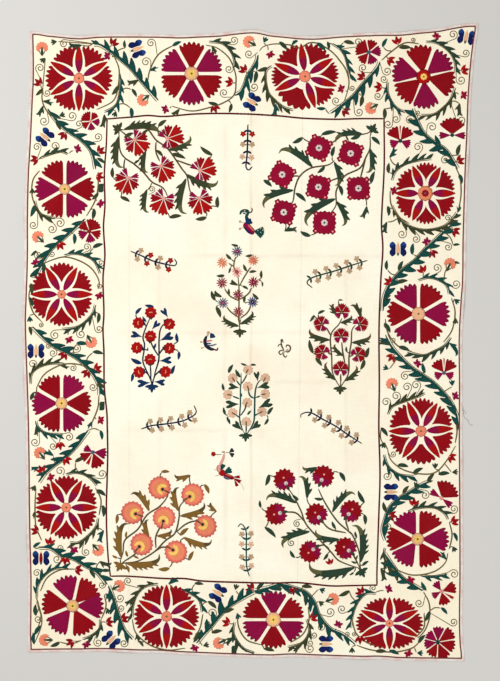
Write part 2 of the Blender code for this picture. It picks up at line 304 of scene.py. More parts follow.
def cottonFinish():
    # hand-woven cotton, off-white, greyed and browned along its old folds
    cotton = Finish("ground_cotton_weave", Roughness=0.88, Sheen_Weight=0.15, Sheen_Roughness=0.5)
    cotton.shader.inputs["Specular IOR Level"].default_value = 0.25
    place = cotton.node("ShaderNodeTexCoord", {}, {}, 3)
    x, y = cotton.part(place, 0), cotton.part(place, 1)
    clouds = cotton.noise(place, 3.2, 4.0)
    slubs = cotton.noise(cotton.stretch(place, (18.0, 320.0, 1.0)), 1.0, 2.0)
    ends = cotton.noise(cotton.stretch(place, (320.0, 18.0, 1.0)), 1.0, 2.0)
    colour = cotton.blend(cotton.range(clouds, 0.35, 0.70), linear((255, 251, 231)), linear((250, 241, 216)))
    wander = (cotton.noise(place, 2.4, 2.0) - 0.5) * 0.012
    marks = [  # soiled old folds in metres: across which axis, at, width, from, to, strength
        ("x", 0.003, 0.006, -1.18, 0.95, 0.26),
        ("x", -0.096, 0.010, -0.90, 0.90, 0.13),
        ("x", 0.363, 0.007, -0.62, 0.36, 0.14),
        ("x", -0.345, 0.010, -0.60, 0.50, 0.11),
        ("y", 0.328, 0.008, -0.28, 0.56, 0.14),
        ("y", 0.036, 0.009, -0.30, 0.50, 0.11),
        ("y", -0.150, 0.009, 0.00, 0.45, 0.11),
        ("y", -0.334, 0.009, -0.50, 0.10, 0.13),
    ]
    patchy = cotton.range(cotton.noise(place, 9.0, 3.0), 0.38, 0.62, 0.35, 1.0)
    soil = 0.0
    for axis, at, wide, start, end, strong in marks:
        line, other = (x, y) if axis == "x" else (y, x)
        off = (line - at + wander) / wide
        band = cotton.wave(off * off * -1.0, "EXPONENT")
        inside = cotton.range(other, start, start + 0.10) * cotton.range(other, end - 0.10, end, 1.0, 0.0)
        soil = band * inside * strong + soil
    colour = cotton.blend(soil * patchy, colour, linear((196, 150, 112)))
    beside = cotton.wave(x + 0.015, "ABSOLUTE")
    ahead = cotton.wave(y + 0.01, "ABSOLUTE")
    border = cotton.range(beside, 0.52, 0.57) + cotton.range(ahead, 0.86, 0.91)  # yellower than the field
    colour = cotton.blend(border * 0.25, colour, linear((248, 234, 200)))
    blush = cotton.range(cotton.noise(place, 5.5, 3.0), 0.50, 0.70) * 0.22
    colour = cotton.blend(blush, colour, linear((250, 214, 190)))
    threads = slubs * 0.5 + ends * 0.5
    shade = cotton.range(threads, 0.3, 0.7, 0.945, 1.03)
    cotton.colour(colour, shade)
    pick = 2 * math.pi / 0.0011
    weave = cotton.wave(x * pick) * cotton.wave(y * pick) * 0.5 + threads * 0.8
    cotton.bump(weave, 0.0004, 0.6)
    return cotton.material


def layDown(name, mesh, material):
    mesh.polygons.foreach_set("use_smooth", [True] * len(mesh.polygons))
    mesh.materials.append(material)
    made = bpy.data.objects.new(name, mesh)
    bpy.context.scene.collection.objects.link(made)
    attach(made, "root")
    return made


def clothGrid(name, xs, ys, under, over, material):
    # a closed sheet from grids of places and of its lower and upper heights, all in cm
    lines, points = xs.shape
    flat = np.column_stack([xs.ravel(), ys.ravel()])
    verts = np.vstack([np.column_stack([flat, over.ravel()]), np.column_stack([flat, under.ravel()])]) * cm
    index = np.arange(lines * points).reshape(lines, points)
    top = np.stack([index[:-1, :-1], index[1:, :-1], index[1:, 1:], index[:-1, 1:]], -1).reshape(-1, 4)
    if (xs[0, -1] - xs[0, 0]) * (ys[-1, 0] - ys[0, 0]) - (ys[0, -1] - ys[0, 0]) * (xs[-1, 0] - xs[0, 0]) > 0:
        top, turn = top[:, ::-1], 1
    else:
        turn = -1
    size = lines * points
    rim = np.concatenate([index[0, :-1], index[:-1, -1], index[-1, :0:-1], index[:0:-1, 0]])[::turn]
    after = np.roll(rim, -1)
    wall = np.stack([after, rim, rim + size, after + size], -1)
    faces = np.vstack([top, top[:, ::-1] + size, wall])
    mesh = bpy.data.meshes.new(name)
    mesh.from_pydata(verts, [], faces.tolist())
    made = layDown(name, mesh, material)
    mesh.set_sharp_from_angle(angle=math.radians(50))
    return made


def seamX(name, y, half):
    atHead, atFoot = make[name]
    head, foot = corners["headLeft"][1], corners["footLeft"][1]
    return atHead + (atFoot - atHead) * (head - y) / (head - foot) + half * make["gap"] / 2


def panelPlaces(left, right):
    head, foot = corners["headLeft"][1], corners["footLeft"][1]
    columns = np.linspace(0, 1, round((right(0.0) - left(0.0)) / make["pitch"]) + 1)[None]
    rows = np.linspace(0, 1, round((head - foot) / make["pitch"]) + 1)[:, None]
    y = head + (foot - head) * rows + 0 * columns
    for _ in range(3):
        x = left(y) + (right(y) - left(y)) * columns
        y = edgeAt("head", x, panelInset) * (1 - rows) + edgeAt("foot", x, panelInset) * rows
    return x, y


cotton = cottonFinish()
panels = {
    "panel_left": (lambda y: edgeAt("left", y, panelInset), lambda y: seamX("seamLeft", y, -1)),
    "panel_middle": (lambda y: seamX("seamLeft", y, 1), lambda y: seamX("seamRight", y, -1)),
    "panel_right": (lambda y: seamX("seamRight", y, 1), lambda y: edgeAt("right", y, panelInset)),
}
for node, (left, right) in panels.items():
    x, y = panelPlaces(left, right)
    lift = clothLift(x, y)
    name = node.replace("panel", "ground_cloth")
    cloth = clothGrid(name, x, y, lift, clothTop(x, y), cotton)
    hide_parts(node)
    cellWide = x[:-1, 1:] - x[:-1, :-1] + x[1:, 1:] - x[1:, :-1]
    cellTall = y[:-1, :-1] - y[1:, :-1] + y[:-1, 1:] - y[1:, 1:]
    area = float(np.abs((cellWide * cellTall).sum())) / 4 * cm * cm
print("suzani: ground cloth laid")


def stripFinish(name, colour, pale, pitch):
    # narrow sewn strip: soft thread ridges across it, worn paler in places
    strip = Finish(name, Roughness=0.80, Sheen_Weight=0.2, Sheen_Roughness=0.5)
    place = strip.node("ShaderNodeTexCoord", {}, {}, 3)
    x, y = strip.part(place, 0), strip.part(place, 1)
    wear = strip.range(strip.noise(place, 26.0, 3.0), 0.40, 0.66)
    colour = strip.blend(wear, linear(colour), linear(pale))
    ridges = strip.wave((x + y) * (2 * math.pi / pitch))
    shade = strip.range(ridges + strip.noise(place, 300.0, 2.0), -0.8, 1.6, 0.86, 1.05)
    strip.colour(colour, shade)
    strip.bump(ridges, 0.0004, 0.7)
    return strip.material


def sewStrip(name, side, inset, wide, profile, material, node):
    # a strip along one side, mitred at its corners; profile: share across, height of the top in cm
    row = sides[side]
    start, end = (corners[c][row["axis"]] for c in row["ends"])
    way = math.copysign(1, end - start)
    count = round(abs(end - start) / 1.0)
    along = np.linspace(0, 1, count + 1)[:, None]
    across = np.array([p[0] for p in profile])[None]
    mitre = inset + wide * across + make["gap"] * 0.75
    place = (start + way * mitre) * (1 - along) + (end - way * mitre) * along
    out = edgeAt(side, place, inset + wide * across)
    x, y = (place, out) if row["axis"] == 0 else (out, place)
    lift = clothLift(x, y)
    thick = np.array([p[1] for p in profile])[None] * np.ones_like(x)
    strip = clothGrid(name, x, y, lift, lift + thick, material)
    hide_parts(node)
    return strip


binding = stripFinish("binding_cotton_fold", (249, 238, 228), (240, 208, 198), 0.0016)
braid = stripFinish("braid_red_silk", (94, 0, 14), (122, 24, 32), 0.0030)
foldProfile = ((0, 0.10), (0.06, 0.19), (0.16, 0.24), (0.35, 0.26), (0.6, 0.255), (0.85, 0.24), (0.95, 0.21),
               (1, 0.15))
braidProfile = ((0, 0.12), (0.12, 0.20), (0.3, 0.235), (0.5, 0.24), (0.7, 0.235), (0.88, 0.20), (1, 0.12))
strips = {}
for side in sides:
    fold = sewStrip(f"edge_fold_{side}", side, 0.0, make["bindingWide"], foldProfile, binding,
                    f"binding_{side}")
    cord = sewStrip(f"edge_braid_{side}", side, make["bindingWide"] + make["gap"], make["braidWide"],
                    braidProfile, braid, f"braid_{side}")
    strips[side] = [fold, cord]
sewnTo = {"panel_left": strips["left"], "panel_middle": strips["head"] + strips["foot"],
          "panel_right": strips["right"]}
print("suzani: edges bound")


# how far a patch stands up from the one it lies on, how far its rim is drawn in, and from what
# width on its underside follows the cloth too, in cm
stitch = {"levelRise": 0.012, "sunk": 0.016, "wide": 2.6}


class Sewn:
    # one piece of sewing: closed, slightly crowned patches of laid silk that share a mesh
    def __init__(self, name):
        self.name = name
        self.flat, self.rise, self.laid, self.dye, self.level = [], [], [], [], []
        self.faces, self.under = [], []
        self.count = 0

    def patch(self, rows, colour, rise=0.06, level=0, vary=0.07):
        # rows: cross lines of (x, y) in cm along the shape, all with the same number of points
        rows = np.asarray(rows, float)
        lines, points = rows.shape[:2]
        middle = lines // 2
        nextRow = rows[middle, points // 2] - rows[middle - 1, points // 2]
        nextPoint = rows[middle, -1] - rows[middle, 0]
        if nextPoint[0] * nextRow[1] - nextPoint[1] * nextRow[0] < 0:
            rows = rows[:, ::-1]
        across, along = gone(rows[middle]), gone(rows[:, points // 2])
        u, v = np.meshgrid(across + chance.uniform(0, 40), along + chance.uniform(0, 40))
        side = np.abs(np.linspace(-1, 1, points))
        end = np.abs(np.linspace(-1, 1, lines))
        crown = np.outer(1 - 0.35 * end**4, 1 - 0.5 * side**4)
        crown[0], crown[-1], crown[:, 0], crown[:, -1] = 0, 0, 0, 0
        lift = level * stitch["levelRise"]
        height = crown * rise - (crown == 0) * stitch["sunk"] + lift
        index = self.count + np.arange(lines * points).reshape(lines, points)
        dyes = self.dyed(colour, lines, vary)[:, None, :].repeat(points, axis=1)
        self.keep(rows, height, u, v, dyes, level)
        top = np.stack([index[:-1, :-1], index[:-1, 1:], index[1:, 1:], index[1:, :-1]], -1).reshape(-1, 4)
        low = index.copy()
        if across[-1] > stitch["wide"]:
            inside = np.s_[1:-1, 1:-1]
            low[inside] = self.count + np.arange((lines - 2) * (points - 2)).reshape(lines - 2, points - 2)
            sunk = height[inside] * 0 + lift - stitch["sunk"]
            self.keep(rows[inside], sunk, u[inside], v[inside], dyes[inside], level)
            under = np.stack([low[:-1, :-1], low[1:, :-1], low[1:, 1:], low[:-1, 1:]], -1)
            under = under.reshape(-1, 4).tolist()
        else:
            left, right = index[:, 0], index[:, -1]
            under = np.stack([left[:-1], left[1:], right[1:], right[:-1]], -1).tolist()
            under += [index[0, ::-1].tolist(), index[-1].tolist()]
        self.faces += top.tolist() + under
        self.under += [0] * len(top) + [1] * len(under)

    def dyed(self, colour, count, vary):
        # a shade of one silk, or of a list of silks, for each line of a patch
        names = [colour] * count if isinstance(colour, str) else colour
        return np.array([linear(silks[name]) for name in names]) * (1 + chance.uniform(-vary, vary))

    def keep(self, rows, height, u, v, dyes, level):
        size = height.size
        self.flat.append(rows.reshape(-1, 2))
        self.rise.append(height.ravel())
        self.laid.append(np.stack([u.ravel(), v.ravel()], -1))
        self.dye.append(dyes.reshape(-1, 3))
        self.level.append(np.full(size, level))
        self.count += size

    def disc(self, rows, colour, rise=0.06, level=0, vary=0.07):
        # a closed round patch: spokes of points from the middle outwards, the last spoke meeting the first
        rows = np.asarray(rows, float)[:-1]
        spokes, rings = rows.shape[:2]
        if (rows[1, -1, 0] - rows[0, 0, 0]) * (rows[0, -1, 1] - rows[0, 0, 1]) > (
                rows[1, -1, 1] - rows[0, 0, 1]) * (rows[0, -1, 0] - rows[0, 0, 0]):
            rows = rows[::-1]
        out = np.linalg.norm(rows[0] - rows[0, 0], axis=1)
        turn = np.arange(spokes) * out[-1] * 6 / spokes
        along, around = np.meshgrid(out + chance.uniform(0, 40), turn + chance.uniform(0, 40))
        share = np.linspace(0, 1, rings)
        lift = level * stitch["levelRise"]
        height = np.repeat([rise * (1 - 0.45 * share**3) + lift], spokes, axis=0)
        height[:, -1] = lift - stitch["sunk"]
        dyes = self.dyed(colour, rings, vary)[None].repeat(spokes, axis=0)
        index = self.count + np.arange(spokes * rings).reshape(spokes, rings)
        self.keep(rows, height, around, along, dyes, level)
        after = np.roll(index, -1, axis=0)
        top = np.stack([index[:, :-1], index[:, 1:], after[:, 1:], after[:, :-1]], -1)
        top = top.reshape(-1, 4).tolist() + [index[:, 0].tolist()]
        if out[-1] * 2 > stitch["wide"]:
            low = index.copy()
            low[:, :-1] = self.count + np.arange(spokes * (rings - 1)).reshape(spokes, rings - 1)
            sunk = height[:, :-1] * 0 + lift - stitch["sunk"]
            self.keep(rows[:, :-1], sunk, around[:, :-1], along[:, :-1], dyes[:, :-1], level)
            after = np.roll(low, -1, axis=0)
            under = np.stack([low[:, :-1], after[:, :-1], after[:, 1:], low[:, 1:]], -1)
            under = under.reshape(-1, 4).tolist() + [low[::-1, 0].tolist()]
        else:
            under = [index[::-1, -1].tolist()]
        self.faces += top + under
        self.under += [0] * len(top) + [1] * len(under)

    def finish(self, material, slot="braid_silk"):
        flat, rise = np.concatenate(self.flat), np.concatenate(self.rise)
        high = clothTop(flat[:, 0], flat[:, 1]) + rise
        mesh = bpy.data.meshes.new(self.name)
        mesh.from_pydata(np.column_stack([flat, high]) * cm, [], self.faces)
        laid, dye, level = np.concatenate(self.laid), np.concatenate(self.dye), np.concatenate(self.level)
        corner = np.zeros(len(mesh.loops), int)
        mesh.loops.foreach_get("vertex_index", corner)
        threads = mesh.uv_layers.new(name="threads")
        threads.data.foreach_set("uv", laid[corner].ravel())
        low, span = flat.min(axis=0), np.ptp(flat, axis=0).max()
        layers = level.max() + 1
        place = (flat - low) / span
        place[:, 0] = (place[:, 0] + level) / layers
        sizes = [len(face) for face in self.faces]
        hidden = np.repeat(np.array(self.under), sizes)[:, None]
        baked = np.where(hidden, 0.025 * place[corner], 0.03 + 0.97 * place[corner])
        mesh.uv_layers.new(name="OFBake").data.foreach_set("uv", baked.ravel())
        shades = mesh.attributes.new("dye", "FLOAT_COLOR", "POINT")
        shades.data.foreach_set("color", np.column_stack([dye, np.ones(len(dye))]).ravel())
        layDown(self.name, mesh, material)


def turned(degrees, long=1.0):
    return long * np.array([math.cos(math.radians(degrees)), math.sin(math.radians(degrees))])


def angleOf(way):
    return math.degrees(math.atan2(way[1], way[0]))


def smoothPath(points, step=0.8):
    # a smooth line through given points, sampled every step
    points = np.asarray(points, float)
    ends = np.vstack([2 * points[0] - points[1], points, 2 * points[-1] - points[-2]])
    line = [points[:1]]
    for i in range(len(points) - 1):
        p0, p1, p2, p3 = ends[i : i + 4]
        count = max(2, round(np.linalg.norm(p2 - p1) / step))
        t = (np.arange(1, count + 1) / count)[:, None]
        line.append(0.5 * (2 * p1 + (p2 - p0) * t + (2 * p0 - 5 * p1 + 4 * p2 - p3) * t**2
                           + (3 * p1 - p0 - 3 * p2 + p3) * t**3))
    return np.vstack(line)


def leftOf(line):
    # a unit step to the left of a line, at each of its points
    way = np.gradient(line, axis=0)
    way /= np.linalg.norm(way, axis=1)[:, None] + 1e-9
    return np.column_stack([-way[:, 1], way[:, 0]])


def ribbon(line, half, points=3):
    # cross lines of a strip along a line, half its width each side
    line = np.asarray(line, float)
    off = np.broadcast_to(half, len(line))[:, None] * np.linspace(-1, 1, points)
    return line[:, None] + leftOf(line)[:, None] * off[..., None]


def stem(sewn, points, wide, colour, step=0.8, taper=0.5, **more):
    line = smoothPath(points, step)
    share = np.linspace(0, 1, len(line))
    half = wide * 0.62 * (1 - taper * np.abs(2 * share - 1) ** 3)  # its rims lie under the cloth's face
    sewn.patch(ribbon(line, half), colour, rise=0.05, **more)
    return line


def leaf(sewn, base, tip, wide, colour, bend=0.0, lines=8, points=5, **more):
    # a pointed shape from base to tip; bend bows it aside
    base, tip = np.asarray(base, float), np.asarray(tip, float)
    share = np.linspace(0, 1, lines)
    run = tip - base
    aside = np.array([-run[1], run[0]])
    line = base + run * share[:, None] + aside * (bend * 4 * share * (1 - share))[:, None]
    half = wide / 2 * np.maximum(np.sin(math.pi * share**0.85) ** 0.8, 0.04)
    sewn.patch(ribbon(line, half, points), colour, **more)


def bloom(sewn, at, radius, colour, lobes=0, depth=0.0, rings=4, spread=360.0, aim=90.0, square=0.0,
          **more):
    # a round or fan-shaped patch worked from its middle: lobes scallop it, square fills four corners
    count = max(18, lobes * 4 + 1)
    around = np.linspace(-spread / 2, spread / 2, count)
    edge = 1 - depth * (0.5 - 0.5 * np.cos(np.linspace(0, lobes * 2 * math.pi, count)))
    edge = edge - square * (1 - np.cos(np.radians(around) * 4))
    share = np.linspace(0.04, 1, rings)
    turn = np.radians(aim + around)
    spoke = np.column_stack([np.cos(turn), np.sin(turn)])
    fade = 1 - (1 - edge)[None] * (share**3)[:, None]
    rows = np.asarray(at, float) + spoke[:, None] * (radius * share[None] * fade.T)[..., None]
    if spread >= 360:
        sewn.disc(rows, colour, **more)
    else:
        sewn.patch(rows.transpose(1, 0, 2), colour, **more)


def wedge(sewn, at, aim, inner, outer, halfAngle, colour, teeth, toothDeep, squash=1.0, lines=7):
    # a fan petal with a toothed end; halfAngle(r) gives its half spread in degrees at a distance r
    points = teeth * 4 + 1
    c = np.linspace(-1, 1, points)
    saw = np.tile([1, 0.34, 0, 0.34], teeth + 1)[:points]
    uneven = np.repeat([chance.uniform(0.8, 1.2) for _ in range(teeth + 1)], 4)[:points]
    reach = outer * (1 - 0.05 * c**2 - toothDeep * 2 * uneven * saw)
    rows = []
    for s in np.linspace(0, 1, lines):
        r = inner + (reach - inner) * s
        spread = np.array([halfAngle(x) for x in np.atleast_1d(inner + (outer - inner) * s)])
        turn = np.radians(aim) + np.radians(spread) * c
        rows.append(np.column_stack([np.cos(turn) * r, np.sin(turn) * r * squash]) + np.asarray(at, float))
    sewn.patch(rows, colour)


def fin(sewn, foot, toe, tip, colour):
    # a full blade that stands on the run from foot to toe and hooks forward
    share = np.linspace(0, 1, 8)[:, None]
    tip = within(tip, 0.5)
    middle, run = (foot + toe) / 2, (toe - foot) / 2
    spine = middle + (tip - middle) * share - run * (0.9 * share * (1 - share))
    half = np.maximum((1 - share) ** 0.46 * (1 + 0.2 * share), 0.03)
    across = (run * half)[:, None]
    sewn.patch((spine + run * half)[:, None] + across * np.linspace(0, -2, 4)[:, None], colour, level=1)


def vine(sewn, points, wide, colour, tooth, side):
    # a stem with blades along one side, leaning forward, and a thin line along the other
    line = smoothPath(points)
    share = np.linspace(0, 1, len(line))
    half = wide / 2 * (1 - 0.6 * np.abs(2 * share - 1) ** 3)
    sewn.patch(ribbon(line, half), colour, rise=0.05)
    beside = line + leftOf(line) * (-side * (wide * 0.5 + 0.05))
    sewn.patch(ribbon(beside, 0.24), "olive", rise=0.04)
    run = gone(line)
    for place in np.arange(tooth["every"] * 0.3, run[-1] - tooth["base"], tooth["every"]):
        foot, toe = (line[min(int(np.searchsorted(run, place + reach)), len(line) - 1)]
                     for reach in (0, tooth["base"]))
        fade = (0.7 + 0.3 * math.sin(math.pi * place / run[-1])) * chance.uniform(0.88, 1.12)
        lean = side * (tooth["lean"] + chance.uniform(-6, 6))
        tip = (foot + toe) / 2 + turned(angleOf(toe - foot) + lean, tooth["long"] * fade)
        fin(sewn, foot, toe, tip, colour)


def spiral(sewn, at, radius, colour, root, hand=1):
    # a thread that leaves root, runs past the middle on one hand and winds in by one and a half turns
    off = np.asarray(root, float) - at
    reach = max(float(np.linalg.norm(off)), radius * 1.02)
    start = angleOf(off) + hand * math.degrees(math.acos(radius / reach))
    share = np.linspace(0, 1, 28)
    turn = np.radians(start + hand * 540 * share)
    curl = at + np.column_stack([np.cos(turn), np.sin(turn)]) * (radius * (1 - 0.84 * share))[:, None]
    tail = max(2, round(float(np.linalg.norm(curl[0] - root)) / 0.7))
    line = np.vstack([np.linspace(root, curl[0], tail, endpoint=False), curl])
    sewn.patch(ribbon(line, np.linspace(0.8, 1.1, len(line)) * spray["thread"] / 2), colour, rise=0.045)


silk = silkFinish()

# The sixteen border rosettes: middle in cm, radius, kind, angles, and the colours of the eye
rosettes = [
    {"at": (-65.1, 100.3), "r": 13.2, "lancets": (90, 30, -30, -90, -150, 150), "eye": ("coral", 2.2)},
    {"at": (-22.3, 102.1), "r": 12.6, "petals": (90, 30, -30, -90, -150, 150), "eye": ("yellow", 2.9)},
    {"at": (20.8, 101.0), "r": 13.3, "lancets": (97, 33, -17, -72, -155, 157), "eye": ("coral", 2.4)},
    {"at": (65.9, 100.9), "r": 12.8, "petals": (100, 40, -15, -85, -140, 165), "eye": ("flame", 3.0),
     "star": ("yellow", 1.9)},
    {"at": (-70.5, 58.2), "r": 11.9, "petals": (120, 60, 0, -60, -120, 180), "eye": ("yellow", 2.3)},
    {"at": (-71.7, 18.2), "r": 12.5, "lancets": (60, 0, -60, -120, 180, 120), "eye": ("coral", 1.8)},
    {"at": (-71.7, -23.2), "r": 11.9, "petals": (120, 60, 0, -60, -120, 180), "eye": ("yellow", 2.5)},
    {"at": (-69.9, -62.8), "r": 12.5, "lancets": (60, 0, -60, -120, 180, 120), "eye": ("coral", 2.0)},
    {"at": (-67.5, -100.2), "r": 12.4, "petals": (48, 107, 172, -128, -63, 0), "eye": ("yellow", 2.6)},
    {"at": (-31.8, -104.2), "r": 12.8, "lancets": (90, 30, -25, -90, -150, 150), "eye": ("coral", 2.2)},
    {"at": (8.8, -105.4), "r": 12.6, "petals": (30, 90, 150, -150, -90, -30), "eye": ("yellow", 3.1),
     "squash": 0.91},
    {"at": (52.9, -106.8), "r": 13.3, "lancets": (90, 30, -30, -90, -150, 150), "eye": ("coral", 1.6),
     "squash": 0.79},
    {"at": (66.5, 56.6), "r": 12.1, "lancets": (60, 0, -60, -115, 180, 115), "eye": ("orange", 3.1),
     "star": ("crimson", 2.1)},
    {"at": (63.9, 10.8), "r": 12.5, "petals": (60, 120, 180, -120, -60, 0), "eye": ("peach", 2.8)},
    {"at": (64.9, -33.8), "r": 13.0, "lancets": (60, 5, -55, -125, 180, 115), "eye": ("coral", 2.3)},
    {"at": (63.6, -74.8), "r": 12.5, "petals": (60, 120, 180, -125, -60, 0), "eye": ("yellow", 2.6),
     "squash": 0.94},
]
rosetteMake = {"lancetWide": 3.3, "gap": 0.85, "petalGap": 1.15, "teeth": 6, "deep": 0.05,
               "eyeScallops": 9}


def lancetHalf(r, radius):
    # half width of a lancet petal at a distance from the rosette's middle
    share = min(1.0, max(0.0, (r / radius - 0.1) / 0.9))
    return rosetteMake["lancetWide"] / 2 * math.sin(math.pi * share**0.9) ** 0.85


def sewRosette(number, row):
    sewn = Sewn(f"rosette_{number:02d}")
    at, radius, squash = row["at"], row["r"], row.get("squash", 1.0)
    eye, eyeWide = row["eye"]
    if "lancets" in row:
        angles = sorted(a % 360 for a in row["lancets"])
        for a in angles:
            tones = ["magenta"] * 5 + ["flame"] * 6
            foot, tip = (at + turned(a, reach) * (1, squash) for reach in (eyeWide * 0.8, radius * 0.97))
            leaf(sewn, foot, tip, rosetteMake["lancetWide"] * (0.6 + 0.4 * squash), tones, lines=11)
        gaps = [(a, (b - a) % 360) for a, b in zip(angles, angles[1:] + angles[:1])]
        for a, between in gaps:
            def spread(r, between=between):
                keep = (lancetHalf(r, radius) + rosetteMake["gap"]) / max(r, 1)
                return max(0.8, between / 2 - math.degrees(keep))
            wedge(sewn, at, a + between / 2, radius * 0.36, radius, spread, "deepRed",
                  rosetteMake["teeth"], rosetteMake["deep"], squash, lines=9)
    else:
        for i, a in enumerate(row["petals"]):
            def spread(r):
                return 30 - math.degrees(rosetteMake["petalGap"] / 2 / max(r, 1))
            tone = "magenta" if i % 2 else "deepRed"
            wedge(sewn, at, a, eyeWide * 0.75, radius, spread, tone,
                  rosetteMake["teeth"], rosetteMake["deep"], squash, lines=8)
    inner, outer = ("yellow", "peach") if eye == "yellow" else (eye, eye)
    bloom(sewn, at, eyeWide, [inner, inner, outer, outer], rosetteMake["eyeScallops"], 0.10, level=1)
    if "star" in row:
        bloom(sewn, at, row["star"][1], row["star"][0], 8, 0.5, level=2)
    bloom(sewn, at, 0.62, "olive", rings=3, level=3)
    sewn.finish(silk)


for number, row in enumerate(rosettes, 1):
    sewRosette(number, row)
print("suzani: rosettes sewn")

# The filling between them. Places are read off the photo, in its pixels; onCloth makes them cm
photo = {"middle": (250.25, 342.25), "cmPerPixel": 0.38}


def onCloth(points):
    points = np.asarray(points, float)
    return (points - photo["middle"]) * photo["cmPerPixel"] * (1, -1)


def nearest(place, lines):
    # the closest point of several lines, and the way that line runs there
    best = min(((np.linalg.norm(line - place, axis=1).min(), i) for i, line in enumerate(lines)))[1]
    line = lines[best]
    k = min(max(int(np.linalg.norm(line - place, axis=1).argmin()), 1), len(line) - 1)
    return line[k], line[k] - line[k - 1]


bud = {"long": 3.1, "stalk": 0.45}
spray = {"leafLong": 4.6, "leafWide": 1.85, "spiral": 1.7, "thread": 0.5208}
coralHead = {"r": 2.6, "scallops": 9}
wings = {"long": 2.9, "wide": 2.7, "apart": 1.65, "body": 5.6, "bodyWide": 1.35}


def sewBud(sewn, at, aim, colour, second, size=1.0):
    # a round cup, three pointed petals and a pale seat
    long = bud["long"] * size
    base = at - turned(aim, long * 0.5)
    bloom(sewn, base + turned(aim, long * 0.4), long * 0.33, colour)
    for turn, share, tone in ((-40, 1.02, second), (40, 1.02, second), (0, 1.08, colour)):
        leaf(sewn, base, base + turned(aim + turn, long * share), long * 0.46, tone, lines=7,
             level=0 if turn else 1)
    bloom(sewn, base + turned(aim, long * 0.16), 0.4 * size, "pink", 3, 0.4, rings=3, aim=aim,
          level=2)


def sewStarBud(sewn, at, aim, colour, second):
    # five pointed petals round a pale heart
    for turn, share in ((-110, 0.56), (-48, 0.7), (0, 0.56), (48, 0.7), (110, 0.56)):
        leaf(sewn, at - turned(aim + turn, 0.3), at + turned(aim + turn, bud["long"] * share),
             bud["long"] * 0.42, colour if turn else second, lines=6)
    bloom(sewn, at, bud["long"] * 0.26, colour, level=1)
    bloom(sewn, at - turned(aim, 0.5), 0.42, "pink", 3, 0.4, rings=3, aim=aim, level=2)


def sewCoral(sewn, at, aim):
    radius = coralHead["r"]
    bloom(sewn, at, radius, ["orange"] + ["coral"] * 4, coralHead["scallops"], 0.16, rings=5,
          spread=268, aim=aim)
    foot = at - turned(aim, radius * 1.2)
    leaf(sewn, foot, at + turned(aim, 0.5), 1.0, "forest", level=1)
    for hand in (-1, 1):
        bow = [foot, at + turned(aim + hand * 115, radius * 0.55), at + turned(aim + hand * 40, 1.0)]
        stem(sewn, bow, 0.34, "olive", step=0.4, level=1)


def sewWings(sewn, at, axis, bodyColour):
    share = np.linspace(-1, 1, 17)
    for hand in (-1, 1):
        lobes = np.abs(np.sin(math.pi * share))
        off = wings["apart"] + 0.35 * lobes + 0.5 * np.abs(share) ** 3
        line = at + np.outer(share * wings["long"], turned(axis)) + np.outer(off * hand, turned(axis + 90))
        half = wings["wide"] / 2 * (0.62 + 0.38 * lobes) * (1 - np.abs(share) ** 6 * 0.9)
        sewn.patch(ribbon(line, half, 5), ["navy" if s < 0.5 else "royal" for s in share])
    tones = ["forest"] * 3 + [bodyColour] * 7 + ["yellow"] * 2
    leaf(sewn, at - turned(axis, wings["body"] / 2), at + turned(axis, wings["body"] / 2), wings["bodyWide"],
         tones, lines=12, level=1)


def sewFan(sewn, at, radius, aim, petals, calyx, deep, seat, gap):
    # toothed petals that open from a calyx: each row is turn, half spread, share of the reach, colour
    root = at - turned(aim, radius * seat)
    for turn, half, share, colour in petals:
        lean = math.radians(turn)
        reach = radius * seat * math.cos(lean) + math.sqrt(radius**2 - (radius * seat * math.sin(lean))**2)

        def spread(r, half=half):
            return max(1.5, half - math.degrees(gap / max(r, 0.8)))
        wedge(sewn, root, aim + turn, 0.5, reach * share, spread, colour, max(2, round(half / 7)), deep,
              lines=6)
    bloom(sewn, root, 0.55 + radius * 0.06, calyx[0], 5, 0.15, rings=3, level=1)
    bloom(sewn, root, 0.3, calyx[1], rings=3, level=2)


leafMake = {"first": 0.12, "spread": 0.6, "lean": 46, "joins": 2.8,
            "spine": ((0, 0), (0.4, 0.14), (0.75, 0.17), (0.97, 0.09), (1.02, -0.07))}


